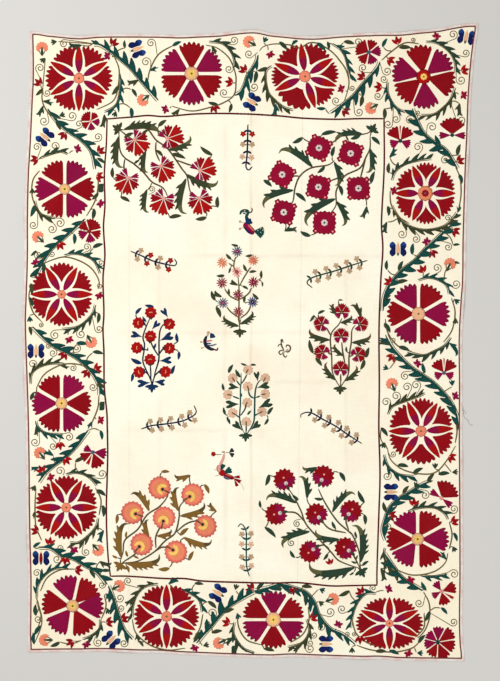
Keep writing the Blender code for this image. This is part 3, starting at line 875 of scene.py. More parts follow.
def sewLeaf(sewn, base, tip, colour, teeth, stalkTo, stalkSilk, tipColour=None, split=0):
    # a plain leaf, or one with fins along its outer edge: left of its run if teeth is over 0, else right
    base, tip = np.asarray(base, float), np.asarray(tip, float)
    if teeth and np.linalg.norm(base - stalkTo) < leafMake["joins"]:
        base = stalkTo + (base - stalkTo) * 0.2
    long = float(np.linalg.norm(tip - base))
    tipColour = tipColour or colour
    if np.linalg.norm(base - stalkTo) > 0.7:
        middle = (base + stalkTo) / 2 + (stalkTo - base)[::-1] * (0.14, -0.14)
        stem(sewn, [stalkTo, middle, base + (tip - base) * 0.08], 0.5, stalkSilk, taper=0.1)
    if not teeth:
        leaf(sewn, base, tip, min(spray["leafWide"], long * 0.40), colour, bend=0.07, lines=9)
        return
    if split:  # a narrow fan with a notched end, leaning to its toothed side
        aim = angleOf(tip - base) + math.copysign(split * 0.3, teeth)
        wedge(sewn, base, aim, 0.1, long, lambda r: split * (0.4 + 0.6 * r / long), colour, 2, 0.13, lines=6)
        return
    side, count = (1 if teeth > 0 else -1), abs(teeth)
    run = tip - base
    aside = np.array([-run[1], run[0]]) * side
    spine = smoothPath([base + run * forth + aside * off for forth, off in leafMake["spine"]], 0.55)
    last = len(spine) - 1
    share = np.linspace(0, 1, last + 1)
    half = (long * 0.13 + 1.0) * 0.5 * np.maximum(np.sin(math.pi * share**0.8) ** 0.8, 0.06)
    sewn.patch(ribbon(spine, half, 5), [colour if s < 0.66 else tipColour for s in share])
    for k in range(count):
        foot, toe = (spine[round((leafMake["first"] + leafMake["spread"] * (k + reach) / count) * last)]
                     for reach in (0, 0.94))
        reach = (long * 0.10 + 1.4) * (1 - 0.2 * k / count)
        top = (foot + toe) / 2 + turned(angleOf(toe - foot) + side * leafMake["lean"], reach * 1.15)
        fin(sewn, foot, toe, top, colour)


mainVines = [
    {"side": -1, "by": [(159, 101), (152, 93), (141, 80), (130, 67), (113, 53), (101, 45), (93, 44)]},
    {"side": 1, "by": [(47, 108), (58, 122), (70, 132), (82, 140), (92, 152), (96, 170)]},
    {"side": 1, "by": [(258, 54), (257, 61), (252, 70), (248, 76), (245, 85), (241, 92), (234, 96)]},
    {"side": 1, "by": [(380, 61), (378, 67), (371, 76), (362, 86), (354, 96), (343, 105), (330, 114)]},
    {"side": 1, "lean": 50, "by": [(458, 170), (452, 160), (445, 150), (433, 142), (423, 133), (416, 119),
                                   (412, 108)]},
    {"side": -1, "by": [(86, 218), (79, 224), (70, 232), (61, 240), (51, 249), (43, 261), (38, 271),
                        (35, 279)]},
    {"side": 1, "by": [(32, 326), (43, 337), (54, 346), (67, 352), (80, 360), (92, 372), (99, 385),
                       (100, 396)]},
    {"side": -1, "by": [(89, 429), (83, 437), (76, 446), (65, 457), (54, 465), (45, 473), (38, 483)]},
    {"side": 1, "by": [(38, 547), (51, 548), (63, 556), (73, 558), (85, 565), (97, 572), (108, 585)]},
    {"side": -1, "by": [(108, 585), (113, 598), (118, 615), (124, 630), (133, 640)]},
    {"side": 1, "lean": 50, "by": [(196, 644), (203, 635), (211, 626), (219, 616), (229, 606), (242, 598),
                                   (255, 591)]},
    {"side": -1, "by": [(254, 591), (268, 588), (280, 585), (293, 588), (306, 593), (314, 603), (319, 616),
                        (330, 629), (343, 635), (356, 645)]},
    {"side": -1, "lean": 50, "by": [(383, 312), (384, 299), (388, 288), (395, 278), (404, 269), (415, 261),
                                    (425, 250), (436, 240), (447, 229), (456, 221)]},
    {"side": 1, "by": [(458, 431), (457, 418), (452, 405), (444, 394), (433, 383), (420, 374), (410, 367),
                       (399, 356), (391, 346), (385, 334)]},
    {"side": -1, "by": [(386, 541), (383, 531), (385, 521), (390, 508), (399, 499), (409, 493), (420, 486),
                        (433, 480)]},
    {"side": 1, "lean": 50, "by": [(423, 591), (411, 584), (401, 577), (392, 565), (384, 553)]},
]
leafyArcs = [
    [(120, 73), (121, 82), (120, 95), (116, 106), (104, 113)],
    [(208, 41), (223, 43), (232, 52), (235, 61), (234, 69)],
    [(272, 65), (266, 70), (265, 78), (266, 87), (269, 95), (277, 103), (284, 108), (294, 111)],
    [(332, 43), (341, 49), (346, 57), (349, 69), (351, 80)],
    [(425, 41), (436, 42), (445, 47), (452, 54), (456, 64), (456, 74)],
    [(456, 87), (451, 100), (444, 108), (434, 115), (420, 116)],
    [(387, 81), (387, 92), (391, 102), (397, 109), (406, 113)],
    [(39, 158), (49, 154), (61, 151), (69, 154)],
    [(34, 200), (37, 210), (43, 216), (56, 219)],
    [(63, 255), (74, 253), (85, 255), (95, 261), (101, 274)],
    [(96, 304), (93, 314), (85, 323), (76, 328), (61, 330)],
    [(30, 385), (31, 374), (38, 367), (50, 363), (65, 363)],
    [(35, 420), (38, 428), (47, 434), (64, 435)],
    [(65, 474), (75, 472), (85, 474), (92, 479), (98, 486)],
    [(99, 517), (97, 526), (90, 535), (79, 543), (69, 543)],
    [(36, 599), (37, 586), (44, 575), (55, 568), (69, 568)],
    [(101, 618), (100, 629), (92, 636), (82, 640)],
    [(159, 583), (145, 586), (136, 595), (132, 608), (132, 618)],
    [(179, 588), (191, 593), (200, 600), (203, 613)],
    [(234, 621), (233, 634), (242, 648), (255, 654)],
    [(307, 618), (310, 631), (303, 643), (287, 648)],
    [(377, 593), (366, 593), (357, 602), (352, 615), (350, 629)],
    [(391, 181), (395, 171), (404, 164), (417, 160), (432, 158)],
    [(391, 205), (397, 216), (406, 225), (419, 230), (433, 230), (447, 225), (458, 212)],
    [(417, 280), (428, 277), (438, 279), (447, 285), (450, 295)],
    [(452, 337), (445, 346), (434, 352), (423, 356), (406, 352)],
    [(387, 415), (392, 406), (406, 400), (420, 395), (425, 392)],
    [(383, 454), (388, 467), (399, 475), (415, 477)],
    [(407, 511), (420, 507), (435, 507), (445, 513), (449, 520)],
    [(384, 547), (384, 557), (389, 567), (399, 576)],
    [(420, 576), (434, 577), (448, 574)],
]
ringStems = [
    [(356, 645), (372, 650), (394, 652), (412, 648), (421, 640)],
    [(423, 591), (429, 603), (429.5, 617), (425, 630), (417, 639)],
    [(113, 54), (119, 69), (118, 87), (113, 101), (96, 110)],
    [(43, 87), (42, 98), (45, 108), (52, 116), (61, 119)],
    [(205, 45), (217, 48), (229, 58), (235, 72), (236, 82), (234, 95), (223, 103), (208, 108), (191, 111),
     (171, 106)],
    [(147, 86), (150, 70), (159, 54), (176, 44)],
    [(259, 52), (263, 47), (274, 44), (290, 45), (300, 48), (309, 43), (319, 44), (332, 52), (340, 61),
     (346, 70), (349, 82), (347, 93), (344, 102)],
    [(381, 61), (391, 52), (405, 43), (420, 44)],
    [(98, 171), (98, 187), (95, 201), (86, 217)],
    [(40, 170), (33, 180), (32, 195), (36, 208)],
    [(41, 265), (52, 260), (65, 257), (80, 261), (92, 269), (99, 281), (98, 290)],
    [(31, 285), (29, 297), (33, 312), (42, 322)],
    [(36, 389), (43, 376), (52, 369), (65, 364), (81, 365), (92, 372)],
    [(99, 394), (98, 407), (94, 418), (89, 428)],
    [(36, 488), (35, 506), (36, 526), (42, 541)],
    [(95, 487), (101, 500), (99, 516)],
    [(40, 592), (47, 578), (60, 570), (76, 569)],
    [(104, 594), (106, 606), (101, 620)],
    [(132, 618), (136, 633), (150, 645), (168, 650), (186, 648)],
    [(203, 613), (200, 628), (193, 640)],
    [(237, 613), (239, 628), (247, 640), (262, 645)],
    [(308, 606), (309, 620), (303, 634), (290, 643)],
    [(352, 618), (356, 633), (368, 643), (386, 648)],
    [(424, 612), (424, 627), (415, 638)],
    [(455, 166), (460, 178), (461, 195), (458, 212)],
    [(390, 190), (391, 204), (398, 216), (410, 224)],
    [(451, 297), (455, 312), (452, 330), (443, 343)],
    [(385, 318), (388, 333), (398, 346), (413, 352)],
    [(387, 447), (391, 460), (404, 470), (422, 474), (436, 472), (447, 460), (456, 445)],
    [(455, 418), (457, 431), (455, 444)],
    [(393, 568), (412, 575), (433, 572), (445, 563), (448, 552)],
    [(449, 521), (452, 535), (449, 550)],
]
borderTooth = {"every": 4.1, "base": 3.5, "long": 4.4}
arcTooth = {"every": 3.1, "base": 2.6, "long": 3.3, "lean": 38}
vineWide = {"main": 1.6, "arc": 1.1, "ring": 0.62}
vineSilks = ["teal", "forest", "moss"]

# Places of the small things: x, y, and an angle where one matters
redBuds = [
    (114, 42), (38, 82), (63, 136), (101, 150), (33, 160), (243, 69), (229, 82), (215, 109), (397, 40),
    (391, 61), (378, 87), (361, 76), (346, 112), (465, 70), (461, 160), (100, 177), (61, 246), (63, 356),
    (98, 368), (86, 374), (60, 446), (67, 461), (41, 469), (33, 530), (50, 541), (65, 561), (79, 570),
    (110, 622), (125, 618), (70, 643), (250, 587), (226, 622), (293, 591), (314, 617), (360, 591),
    (360, 640), (456, 232), (433, 254), (422, 269), (388, 281), (391, 358), (452, 458), (414, 502),
    (393, 516), (455, 521),
]
magentaBuds = [
    (108, 56), (77, 149), (166, 109), (270, 54), (436, 35), (342, 89), (463, 95), (100, 203), (36, 263),
    (99, 295), (69, 339), (100, 420), (50, 477), (74, 549), (86, 645), (195, 649), (393, 191), (427, 242),
    (417, 364), (457, 396), (411, 579), (388, 589), (338, 625), (408, 656),
]
spirals = [
    (40, 68), (64, 42), (47, 93), (151, 42), (146, 62), (72, 116), (44, 121), (37, 147), (55, 146),
    (98, 137), (79, 124), (234, 39), (249, 54), (229, 69), (224, 93), (254, 87), (358, 41), (413, 38),
    (453, 34), (387, 71), (384, 79), (378, 96), (363, 68), (352, 88), (336, 101), (359, 112), (468, 53),
    (461, 80), (418, 113), (410, 120), (396, 119), (432, 127), (418, 147), (445, 160), (465, 120),
    (388, 124), (60, 223), (52, 229), (32, 225), (85, 229), (87, 247), (38, 255), (52, 254), (31, 275),
    (101, 263), (100, 286), (41, 325), (99, 329), (55, 335), (81, 334), (77, 348), (53, 353), (48, 346),
    (30, 364), (73, 368), (93, 387), (35, 442), (69, 437), (53, 446), (102, 474), (60, 471), (86, 552),
    (60, 548), (57, 559), (36, 573), (102, 585), (128, 581), (120, 598), (121, 608), (98, 646), (124, 647),
    (38, 619), (212, 613), (207, 624), (330, 612), (321, 627), (314, 635), (310, 643), (310, 652),
    (425, 495), (455, 509), (388, 527), (454, 574), (419, 603), (457, 622), (373, 588), (342, 609),
    (354, 634), (347, 634), (448, 218), (448, 247), (402, 234), (416, 239), (437, 268), (456, 284),
    (393, 340), (405, 376), (407, 387), (416, 385), (396, 396), (386, 402), (393, 454), (387, 476),
]
leaves = [
    (38, 92), (47, 101), (38, 108), (54, 42), (76, 44), (100, 41), (125, 42), (43, 60), (115, 90),
    (133, 83), (115, 114), (131, 113), (151, 70), (134, 93), (62, 115), (58, 126), (103, 122), (101, 161),
    (177, 44), (212, 47), (265, 40), (293, 42), (283, 46), (328, 44), (321, 47), (262, 69), (255, 77),
    (213, 103), (230, 108), (271, 109), (321, 108), (177, 112), (349, 43), (385, 42), (405, 48),
    (361, 101), (384, 114), (461, 109), (438, 140), (459, 150), (391, 153), (31, 191), (95, 196),
    (30, 211), (93, 214), (74, 239), (98, 246), (32, 253), (43, 268), (31, 289), (31, 302), (98, 318),
    (28, 319), (30, 331), (82, 344), (98, 353), (101, 386), (61, 368), (32, 396), (91, 421), (34, 429),
    (49, 455), (101, 435), (80, 460), (34, 467), (33, 488), (33, 511), (101, 493), (103, 511), (103, 536),
    (36, 545), (92, 574), (106, 571), (105, 562), (108, 596), (108, 611), (36, 610), (38, 630), (35, 639),
    (55, 644), (129, 598), (137, 634), (141, 649), (173, 583), (199, 584), (236, 587), (261, 586),
    (259, 593), (212, 605), (229, 611), (217, 632), (196, 637), (230, 640), (206, 645), (238, 616),
    (269, 650), (279, 588), (307, 587), (305, 600), (322, 590), (321, 603), (296, 651), (406, 490),
    (416, 485), (385, 507), (457, 537), (454, 549), (445, 559), (389, 562), (381, 574), (424, 586),
    (444, 611), (427, 616), (344, 593), (352, 650), (381, 656), (394, 656), (422, 639), (420, 653),
    (389, 168), (388, 211), (462, 179), (461, 212), (458, 245), (460, 263), (413, 249), (387, 227),
    (387, 265), (401, 266), (402, 282), (387, 298), (458, 301), (456, 321), (387, 328), (385, 347),
    (404, 349), (456, 349), (424, 368), (452, 383), (386, 368), (445, 400), (458, 410), (384, 432),
    (383, 445), (403, 466), (418, 471), (435, 466), (444, 474), (455, 472), (431, 478),
]
coral = [
    (42, 48), (143, 100), (249, 42), (371, 108), (38, 237), (91, 342), (40, 453), (98, 550), (119, 586),
    (45, 640), (219, 643), (333, 599), (392, 384), (450, 264),
]
winged = [
    (137, 49, 20), (45, 137, 140), (252, 102, 150), (466, 37, 80), (36, 351, 90), (41, 558, 90),
    (111, 640, 45), (218, 593, 150), (326, 644, 0), (391, 492, 0), (398, 249, 90),
]
squares = [(101, 188), (102, 406), (234, 650)]
rosetteMiddles = [np.array(row["at"]) for row in rosettes]


def sectionOf(place):
    if place[1] > 84:
        return "head"
    if place[1] < -88:
        return "foot"
    return "left" if place[0] < 0 else "right"


stemRoutes = [smoothPath(onCloth(row["by"])) for row in mainVines]
stemRoutes += [smoothPath(onCloth(route)) for route in leafyArcs + ringStems]
border = {(kind, section): Sewn(f"border_{kind}_{section}")
          for kind in ("vines", "leaves", "flowers") for section in ("head", "foot", "left", "right")}
for row in mainVines:
    route = onCloth(row["by"])
    sewn = border["vines", sectionOf(route[len(route) // 2])]
    vine(sewn, route, vineWide["main"], "teal", borderTooth | {"lean": row.get("lean", 40)}, row["side"])
for i, points in enumerate(leafyArcs):
    route = onCloth(points)
    middle = route[len(route) // 2]
    home = min(rosetteMiddles, key=lambda other: np.linalg.norm(other - middle))
    run, out = route[-1] - route[0], middle - home
    side = 1 if run[0] * out[1] - run[1] * out[0] > 0 else -1
    vine(border["vines", sectionOf(middle)], route, vineWide["arc"], vineSilks[i % 3], arcTooth, side)
for points in ringStems:
    route = onCloth(points)
    sewn = border["vines", sectionOf(route[len(route) // 2])]
    stem(sewn, route, vineWide["ring"], "olive", taper=0.3)
print("suzani: border vines sewn")

for kind, places in (("red", redBuds), ("magenta", magentaBuds)):
    for place in onCloth(places):
        place = within(place, 1.6)
        on, way = nearest(place, stemRoutes)
        off = place - on
        aim = angleOf(off) if np.linalg.norm(off) > 0.8 else angleOf(way) + 60
        aim += chance.uniform(-18, 18)
        sewn = border["flowers", sectionOf(place)]
        base = place - turned(aim, bud["long"] * 0.45)
        if np.linalg.norm(base - on) > 0.8:
            bow = [on, (on + base) / 2 + turned(aim + 90, 0.3), base]
            stem(sewn, bow, bud["stalk"], "olive", taper=0.1)
        first, second = chance.choice((("deepRed", "deepRed"), ("deepRed", "flame")) if kind == "red" else
                                      (("magenta", "magenta"), ("crimson", "magenta")))
        (sewBud if kind == "red" else sewStarBud)(sewn, place, aim, first, second)
for place in onCloth(spirals):
    place = within(place, 2.0)
    on, way = nearest(place, stemRoutes)
    hand = 1 if way[0] * (place - on)[1] - way[1] * (place - on)[0] > 0 else -1
    radius = min(spray["spiral"], max(1.0, np.linalg.norm(place - on) * 0.8)) * chance.uniform(0.9, 1.1)
    root = on - way / (np.linalg.norm(way) + 1e-9) * radius
    spiral(border["leaves", sectionOf(place)], place, radius, "olive", root, hand)
for place in onCloth(leaves):
    place = within(place, 1.4)
    on, way = nearest(place, stemRoutes)
    way = way / (np.linalg.norm(way) + 1e-9)
    off = (place - on) / (np.linalg.norm(place - on) + 0.6)
    aim = angleOf(way * 0.8 + off * 0.7) + chance.uniform(-14, 14)
    sewn, tone, form = border["leaves", sectionOf(place)], chance.choice(vineSilks), chance.random()
    if form < 0.22:  # a small split leaf on a short stalk
        base = place - turned(aim, 1.3)
        stem(sewn, [on, (on + base) / 2, base], 0.45, "olive", taper=0.1)
        wedge(sewn, base, aim, 0.1, 2.7, lambda r: 36, tone, 3, 0.13, lines=5)
    else:
        half = turned(aim, spray["leafLong"] * chance.uniform(0.4, 0.54))
        base, tip = within(place - half, 0.8), within(place + half, 0.8)
        sewLeaf(sewn, base, tip, tone, 0 if form < 0.8 else chance.choice((2, -2)), on, "olive")
for place in onCloth(coral):
    place = within(place, 2.6)
    on, way = nearest(place, stemRoutes)
    sewCoral(border["flowers", sectionOf(place)], place, angleOf(place - on))
for x, y, axis in winged:
    place = onCloth((x, y))
    striped = "deepRed" if y > 550 and x < 60 else "peach"
    sewWings(border["flowers", sectionOf(place)], place, axis, striped)
for place in onCloth(squares):
    sewn = border["leaves", sectionOf(place)]
    sewn.patch(ribbon(place + np.outer(np.linspace(-1.7, 1.7, 7), (0, 1)), 1.0, 5), "forest", level=1)

# The large carnations of the border: middle, radius in cm, the way they open, and their petals
redFan = [(-112, 33, 0.98, "magenta"), (112, 33, 0.98, "magenta"), (-37, 31, 1.0, "deepRed"),
          (37, 31, 1.0, "deepRed"), (0, 5, 0.95, "flame")]
wideFan = [(-92, 21, 1.25, "magenta"), (92, 21, 1.25, "magenta"), (0, 54, 1.0, "deepRed")]
cornerFan = [(-125, 26, 0.85, "magenta"), (150, 28, 0.95, "magenta"), (-50, 31, 1.0, "deepRed"),
             (-5, 9, 0.95, "flame"), (44, 30, 1.05, "deepRed")]
fullFan = [(-142, 32, 1.0, "magenta"), (142, 32, 1.0, "magenta"), (-78, 30, 1.0, "deepRed"),
           (78, 30, 1.0, "deepRed"), (0, 47, 1.04, "deepRed")]
openFan = [(-124, 30, 0.8, "magenta"), (-68, 26, 1.0, "deepRed"), (-29, 11, 0.95, "flame"),
           (16, 31, 1.15, "deepRed"), (79, 30, 1.05, "magenta")]
roundFan = [(-155, 26, 0.95, "magenta"), (155, 26, 0.95, "magenta"), (-103, 26, 1.0, "deepRed"),
            (-51, 26, 1.05, "deepRed"), (0, 25, 1.0, "deepRed"), (51, 26, 1.08, "deepRed"),
            (103, 26, 1.0, "magenta")]
carnations = [
    {"at": (368.3, 52), "r": 5.2, "aim": 150, "petals": fullFan, "calyx": ("slate", "ink"), "seat": 0.05},
    {"at": (400.2, 137), "r": 5.2, "aim": 90, "petals": redFan, "calyx": ("teal", "ink"), "seat": 0.28},
    {"at": (452.2, 129.3), "r": 4.9, "aim": 90, "petals": wideFan, "calyx": ("teal", "ink"), "seat": 0.45},
    {"at": (444, 369), "r": 4.9, "aim": 90, "petals": redFan, "calyx": ("slate", "ink"), "seat": 0.3},
    {"at": (445, 492.8), "r": 4.9, "aim": 55, "petals": wideFan, "calyx": ("pink", "flame"), "seat": 0.5},
    {"at": (443, 592), "r": 5.4, "aim": -25, "petals": cornerFan, "calyx": ("pink", "flame"), "seat": 0.12},
    {"at": (439.5, 642.6), "r": 6.6, "aim": -15, "petals": roundFan, "calyx": ("teal", "navy"), "seat": 0.1},
    {"at": (90.3, 121), "r": 3.9, "aim": 135, "petals": fullFan, "calyx": ("pink", "flame"), "seat": 0.05},
    {"at": (89.6, 231), "r": 4.8, "aim": 60, "petals": fullFan, "calyx": ("deepRed", "flame"), "seat": 0.05},
    {"at": (93, 453.6), "r": 5.3, "aim": -85, "petals": openFan, "calyx": ("slate", "ink"), "seat": 0.1},
]
for row in carnations:
    place = onCloth(row["at"])
    sewFan(border["flowers", sectionOf(place)], place, row["r"], row["aim"], row["petals"], row["calyx"],
           0.055, row["seat"], 0.14)
for sewn in border.values():
    sewn.finish(silk)
print("suzani: border filled")

# The line of the inner frame
frameLine = [
    [(107, 119), (132, 117), (148, 115.5), (165, 116.5), (195, 114), (224, 113.5), (254, 114.4),
     (280, 116), (303, 118.2), (335, 119.3), (358, 118.7), (384, 118.7)],
    [(384, 118.7), (384.2, 165), (382, 209), (381.5, 227), (382.8, 249), (380.7, 282), (379, 330),
     (379.3, 385), (378.8, 428), (380, 474), (378.7, 518), (377, 568), (377, 585)],
    [(377, 585), (350, 585.6), (330, 585.8), (298, 582.6), (274, 583), (235, 582.2), (203, 581),
     (184, 578.5), (165, 578.5), (128, 576.2), (110.5, 576.2)],
    [(110.5, 576.2), (108.3, 559), (106.7, 531), (106.4, 505), (106.8, 490), (107.7, 455), (107.3, 428),
     (106.8, 412), (104.3, 387), (103.9, 352), (103, 330), (103.9, 312), (103, 279), (104.9, 255),
     (103.5, 227), (104.9, 205), (104.4, 173), (106.2, 147), (106.8, 130), (107, 119)],
]
frameWide = 0.72
sewn = Sewn("frame_line")
for points in frameLine:
    route = onCloth(points)
    for end, inner in ((0, 1), (-1, -2)):  # each side runs a little past the corner, over the next one
        way = route[end] - route[inner]
        route[end] += way / np.linalg.norm(way) * frameWide * 0.8
    stem(sewn, route, frameWide, "frameRed", step=1.2, taper=0)
sewn.finish(silk)

# Four sprays in the corners of the field: stems, then leaves as tip x, y, base x, y and any teeth
headLeftStems = [
    [(122, 130), (135, 129), (147, 129), (156, 140), (167, 148), (176, 160), (182, 169), (187, 176),
     (190, 191), (195, 198)],
    [(119, 134), (120, 150), (125, 158), (134, 164), (144, 173), (152, 182), (163, 188), (168, 197)],
    [(156, 141), (156, 152), (160, 162)],
    [(121, 131), (130, 138), (135, 141)],
    [(147, 129), (158, 131), (168, 136)],
    [(176, 160), (187, 164), (196, 167)],
    [(125, 158), (124, 168), (128, 177)],
]
headLeftLeaves = [
    (158, 133, 122, 127, 5), (122, 167, 119, 134, -4), (147, 172, 150, 152, -3), (190, 137, 166, 152, -4),
    (186, 159, 171, 154), (163, 157, 156, 150), (200, 146, 213, 155), (217, 182, 186, 175, -4),
    (185, 213, 181, 179, -4), (148, 212, 147, 189, -4), (218, 196, 218, 208), (195, 219, 207, 217),
    (182, 216, 169, 218), (130, 202, 120, 197), (113, 167, 113, 178), (149, 130, 142, 134),
    (167, 120, 158, 127), (134, 133, 124, 138), (140, 160, 134, 164),
]
headRightStems = [
    [(369, 133), (357, 135), (346, 133), (336, 140), (328, 146)],
    [(370, 135), (370, 148), (366, 157), (360, 168), (346, 175), (340, 183), (336, 192), (336, 205),
     (330, 214)],
    [(335, 160), (328, 165), (311, 168), (300, 176), (295, 188), (293, 201), (288, 207)],
    [(300, 176), (292, 176)],
    [(346, 175), (330, 181)],
    [(366, 157), (362, 172), (360, 180)],
    [(345, 134), (349, 142)],
]
headRightLeaves = [
    (336, 141, 362, 133, -4), (350, 139, 361, 134), (380, 145, 371, 137), (367, 172, 370, 148, 3),
    (337, 132, 321, 135), (292, 143, 303, 137), (280, 152, 313, 168, -4), (317, 173, 325, 166),
    (335, 146, 332, 157), (336, 185, 336, 162, 3), (342, 196, 339, 185), (375, 171, 371, 184),
    (264, 206, 291, 190, -3), (306, 202, 295, 193), (272, 187, 263, 180), (307, 224, 335, 199, -3),
    (343, 225, 336, 201, 3), (360, 216, 367, 206, 2), (296, 232, 284, 231, 2), (300, 231, 311, 236),
]
footLeftStems = [
    [(120, 562), (123, 552), (125, 540), (138, 529), (147, 515), (160, 506), (168, 495), (164, 490)],
    [(141, 525), (141, 517), (136, 514)],
    [(123, 562), (131, 557), (136, 553), (139, 547)],
    [(123, 563), (138, 561), (154, 552), (165, 541), (175, 533), (179, 518), (180, 506), (189, 497)],
    [(156, 549), (156, 536), (163, 522)],
    [(175, 533), (186, 524), (196, 521), (202, 524)],
    [(154, 552), (163, 547), (173, 550)],
]
footLeftLeaves = [
    (127, 524, 120, 557, 4), (112, 555, 118, 558), (127, 531, 126, 538), (148, 520, 152, 538, 2),
    (132, 494, 147, 508, -3), (170, 472, 161, 472), (175, 475, 191, 475, 2), (209, 494, 204, 484),
    (178, 488, 176, 511, 3), (204, 504, 181, 517, -3), (211, 503, 217, 512, 2), (171, 530, 158, 536, -2),
    (189, 528, 180, 536), (211, 541, 183, 537, -4), (194, 551, 189, 561), (158, 569, 170, 568),
    (159, 556, 126, 564, -5), (129, 573, 126, 565), (126, 550, 128, 557), (139, 559, 133, 556),
    (116, 524, 117, 514),
]
footRightStems = [
    [(359, 568), (349, 565), (338, 560), (331, 552), (319, 539), (306, 524), (301, 511), (294, 497),
     (288, 488)],
    [(305, 522), (296, 513), (284, 512)],
    [(330, 549), (323, 545), (315, 548)],
    [(360, 567), (359, 552), (353, 536), (347, 530), (338, 522), (330, 511), (323, 499), (318, 488)],
    [(349, 531), (346, 522), (347, 516)],
    [(347, 533), (330, 529), (321, 520)],
    [(359, 566), (352, 553), (348, 550)],
]
footRightLeaves = [
    (354, 526, 363, 562, -5), (369, 561, 362, 566), (351, 561, 357, 563), (358, 555, 356, 560),
    (355, 531, 357, 538), (365, 525, 364, 514), (358, 490, 365, 503), (354, 494, 335, 511, 4),
    (314, 498, 323, 499), (300, 477, 307, 499, -3), (267, 499, 295, 505, -4), (292, 494, 299, 500),
    (265, 486, 269, 474), (345, 482, 339, 472), (303, 467, 314, 463, 2), (260, 500, 261, 508),
    (276, 538, 264, 527), (283, 546, 306, 535, -4), (290, 550, 295, 558), (316, 531, 337, 537, 3),
    (332, 521, 336, 529), (323, 560, 328, 553), (310, 565, 355, 570, 5), (349, 575, 354, 572),
]


def sewSpray(name, stems, leafRows, flowers, silkNames, root, wide=0.7, flowerWide=3.4, split=0):
    # each stalk starts at the nearest stem or flower, which lies over its end
    sewn = Sewn(name)
    stemSilk, leafSilk, tipSilk = silkNames
    lines = [stem(sewn, onCloth(points), wide, stemSilk, taper=0.35) for points in stems]
    rims = [onCloth(flower[:2]) + [turned(turn, flowerWide) for turn in range(0, 360, 20)]
            for flower in flowers]
    for tipX, tipY, baseX, baseY, *teeth in leafRows:
        base = onCloth((baseX, baseY))
        on, way = nearest(base, lines + rims)
        sewLeaf(sewn, base, onCloth((tipX, tipY)), leafSilk, sum(teeth), on, stemSilk, tipSilk, split)
    at = onCloth(root[:2])
    for line in lines:  # the stems that leave the root reach all the way into it
        if np.linalg.norm(line[0] - at) < 5:
            stem(sewn, [at, (at + line[0]) / 2, line[1]], wide * 0.8, stemSilk, taper=0.1)
    bloom(sewn, at, wide * 1.5, leafSilk, 5, 0.2, level=1)
    for k in range(5):  # the tuft of small leaves that it grows from
        long = wide * (4.2 - k % 2)
        leaf(sewn, at, at + turned(root[2] + (k - 2) * 42, long), long * 0.52, leafSilk, lines=7)
    return sewn, lines


def opening(at, lines):
    # a flower faces away from the stem that carries it
    on, way = nearest(at, lines)
    return angleOf(at - on) if np.linalg.norm(at - on) > 0.5 else angleOf(way)


def sewSquareRose(sewn, at, corner):
    for k in range(4):
        out = turned(corner + 90 * k)
        bloom(sewn, at + out * 4.45, 1.5, "crimson", 5, 0.28, aim=corner + 90 * k)
        bloom(sewn, at + out * 4.6, 0.55, "pink", 3, 0.4, rings=3, aim=corner + 90 * k, level=3)
    bloom(sewn, at, 4.9, ["crimson", "magenta"] + ["crimson"] * 4, 16, 0.11, rings=6,
          aim=corner, square=0.02, level=1)
    bloom(sewn, at, 1.9, "pale", 7, 0.45, level=2)
    bloom(sewn, at, 0.68, "ink", rings=3, level=3)


def sewCoralCarnation(sewn, at, aim):
    bloom(sewn, at, 4.75, ["orange"] * 3 + ["coral", "rose", "rose"], 17, 0.12,
          rings=6, aim=aim)
    seat = at - turned(aim, 1.3)
    bloom(sewn, seat, 2.9, ["yellow"] * 3 + ["orange"], 9, 0.16, spread=280, aim=aim, level=1)
    leaf(sewn, at - turned(aim, 4.4), seat, 0.9, "bark", level=2)
    bloom(sewn, seat, 0.95, "ink", 5, 0.5, rings=3, level=3)


def sewRedCarnation(sewn, at, aim):
    bloom(sewn, at, 4.6, "deepRed", 14, 0.2, rings=6, aim=aim)
    bloom(sewn, at, 4.7, ["deepRed"] + ["magenta"] * 5, 8, 0.34, rings=6, spread=176,
          aim=aim + 180, level=1)
    bloom(sewn, at + turned(aim, 0.7), 0.6, "pink", 3, 0.3, rings=3, level=2)
    leaf(sewn, at - turned(aim, 4.6), at - turned(aim, 1.8), 1.25, "forest", level=2)
    bloom(sewn, at - turned(aim, 1.6), 1.0, "pale", 6, 0.22, level=3)
    bloom(sewn, at - turned(aim, 1.9), 0.36, "slate", rings=3, level=4)


headLeftFlowers = [(138, 144, -50), (172.6, 136.6, 20), (126, 183, -115), (163.7, 170.8, -60),
                   (205, 168.7, 20),
                   (161.5, 203.4, -115), (200.8, 203.4, -75)]
sewn, lines = sewSpray("spray_head_left", headLeftStems, headLeftLeaves, headLeftFlowers,
                       ("bark", "moss", "sage"), (118.7, 129, 150))
fanPetals = [(hand * turn, half, share, "magenta") for hand in (-1, 1)
             for turn, half, share in ((98, 13, 1.0), (130, 19, 1.3))]
fanPetals += [(-66, 23, 1.0, "deepRed"), (-21, 22, 1.0, "flame"),
              (21, 22, 1.0, "flame"), (66, 23, 1.0, "deepRed")]
for x, y, aim in headLeftFlowers:
    sewFan(sewn, onCloth((x, y)), 5.0, aim, fanPetals, ("pink", "rose"), 0.075, 0.42, 0.12)
spiral(sewn, onCloth((151.8, 189.3)), 1.3, "olive", onCloth((147.5, 195)))
sewn.finish(silk)

headRightFlowers = [(318.9, 148, 21), (350.6, 153.4, 27), (282.1, 174.6, 14), (318.4, 187.1, 33),
                    (358.4, 188.4, 47), (283.7, 212.3, 30), (324.4, 222.7, 43)]
sewn, lines = sewSpray("spray_head_right", headRightStems, headRightLeaves, headRightFlowers,
                       ("bark", "forest", "sage"), (372, 130, 60))
for x, y, corner in headRightFlowers:
    sewSquareRose(sewn, onCloth((x, y)), corner)
sewn.finish(silk)

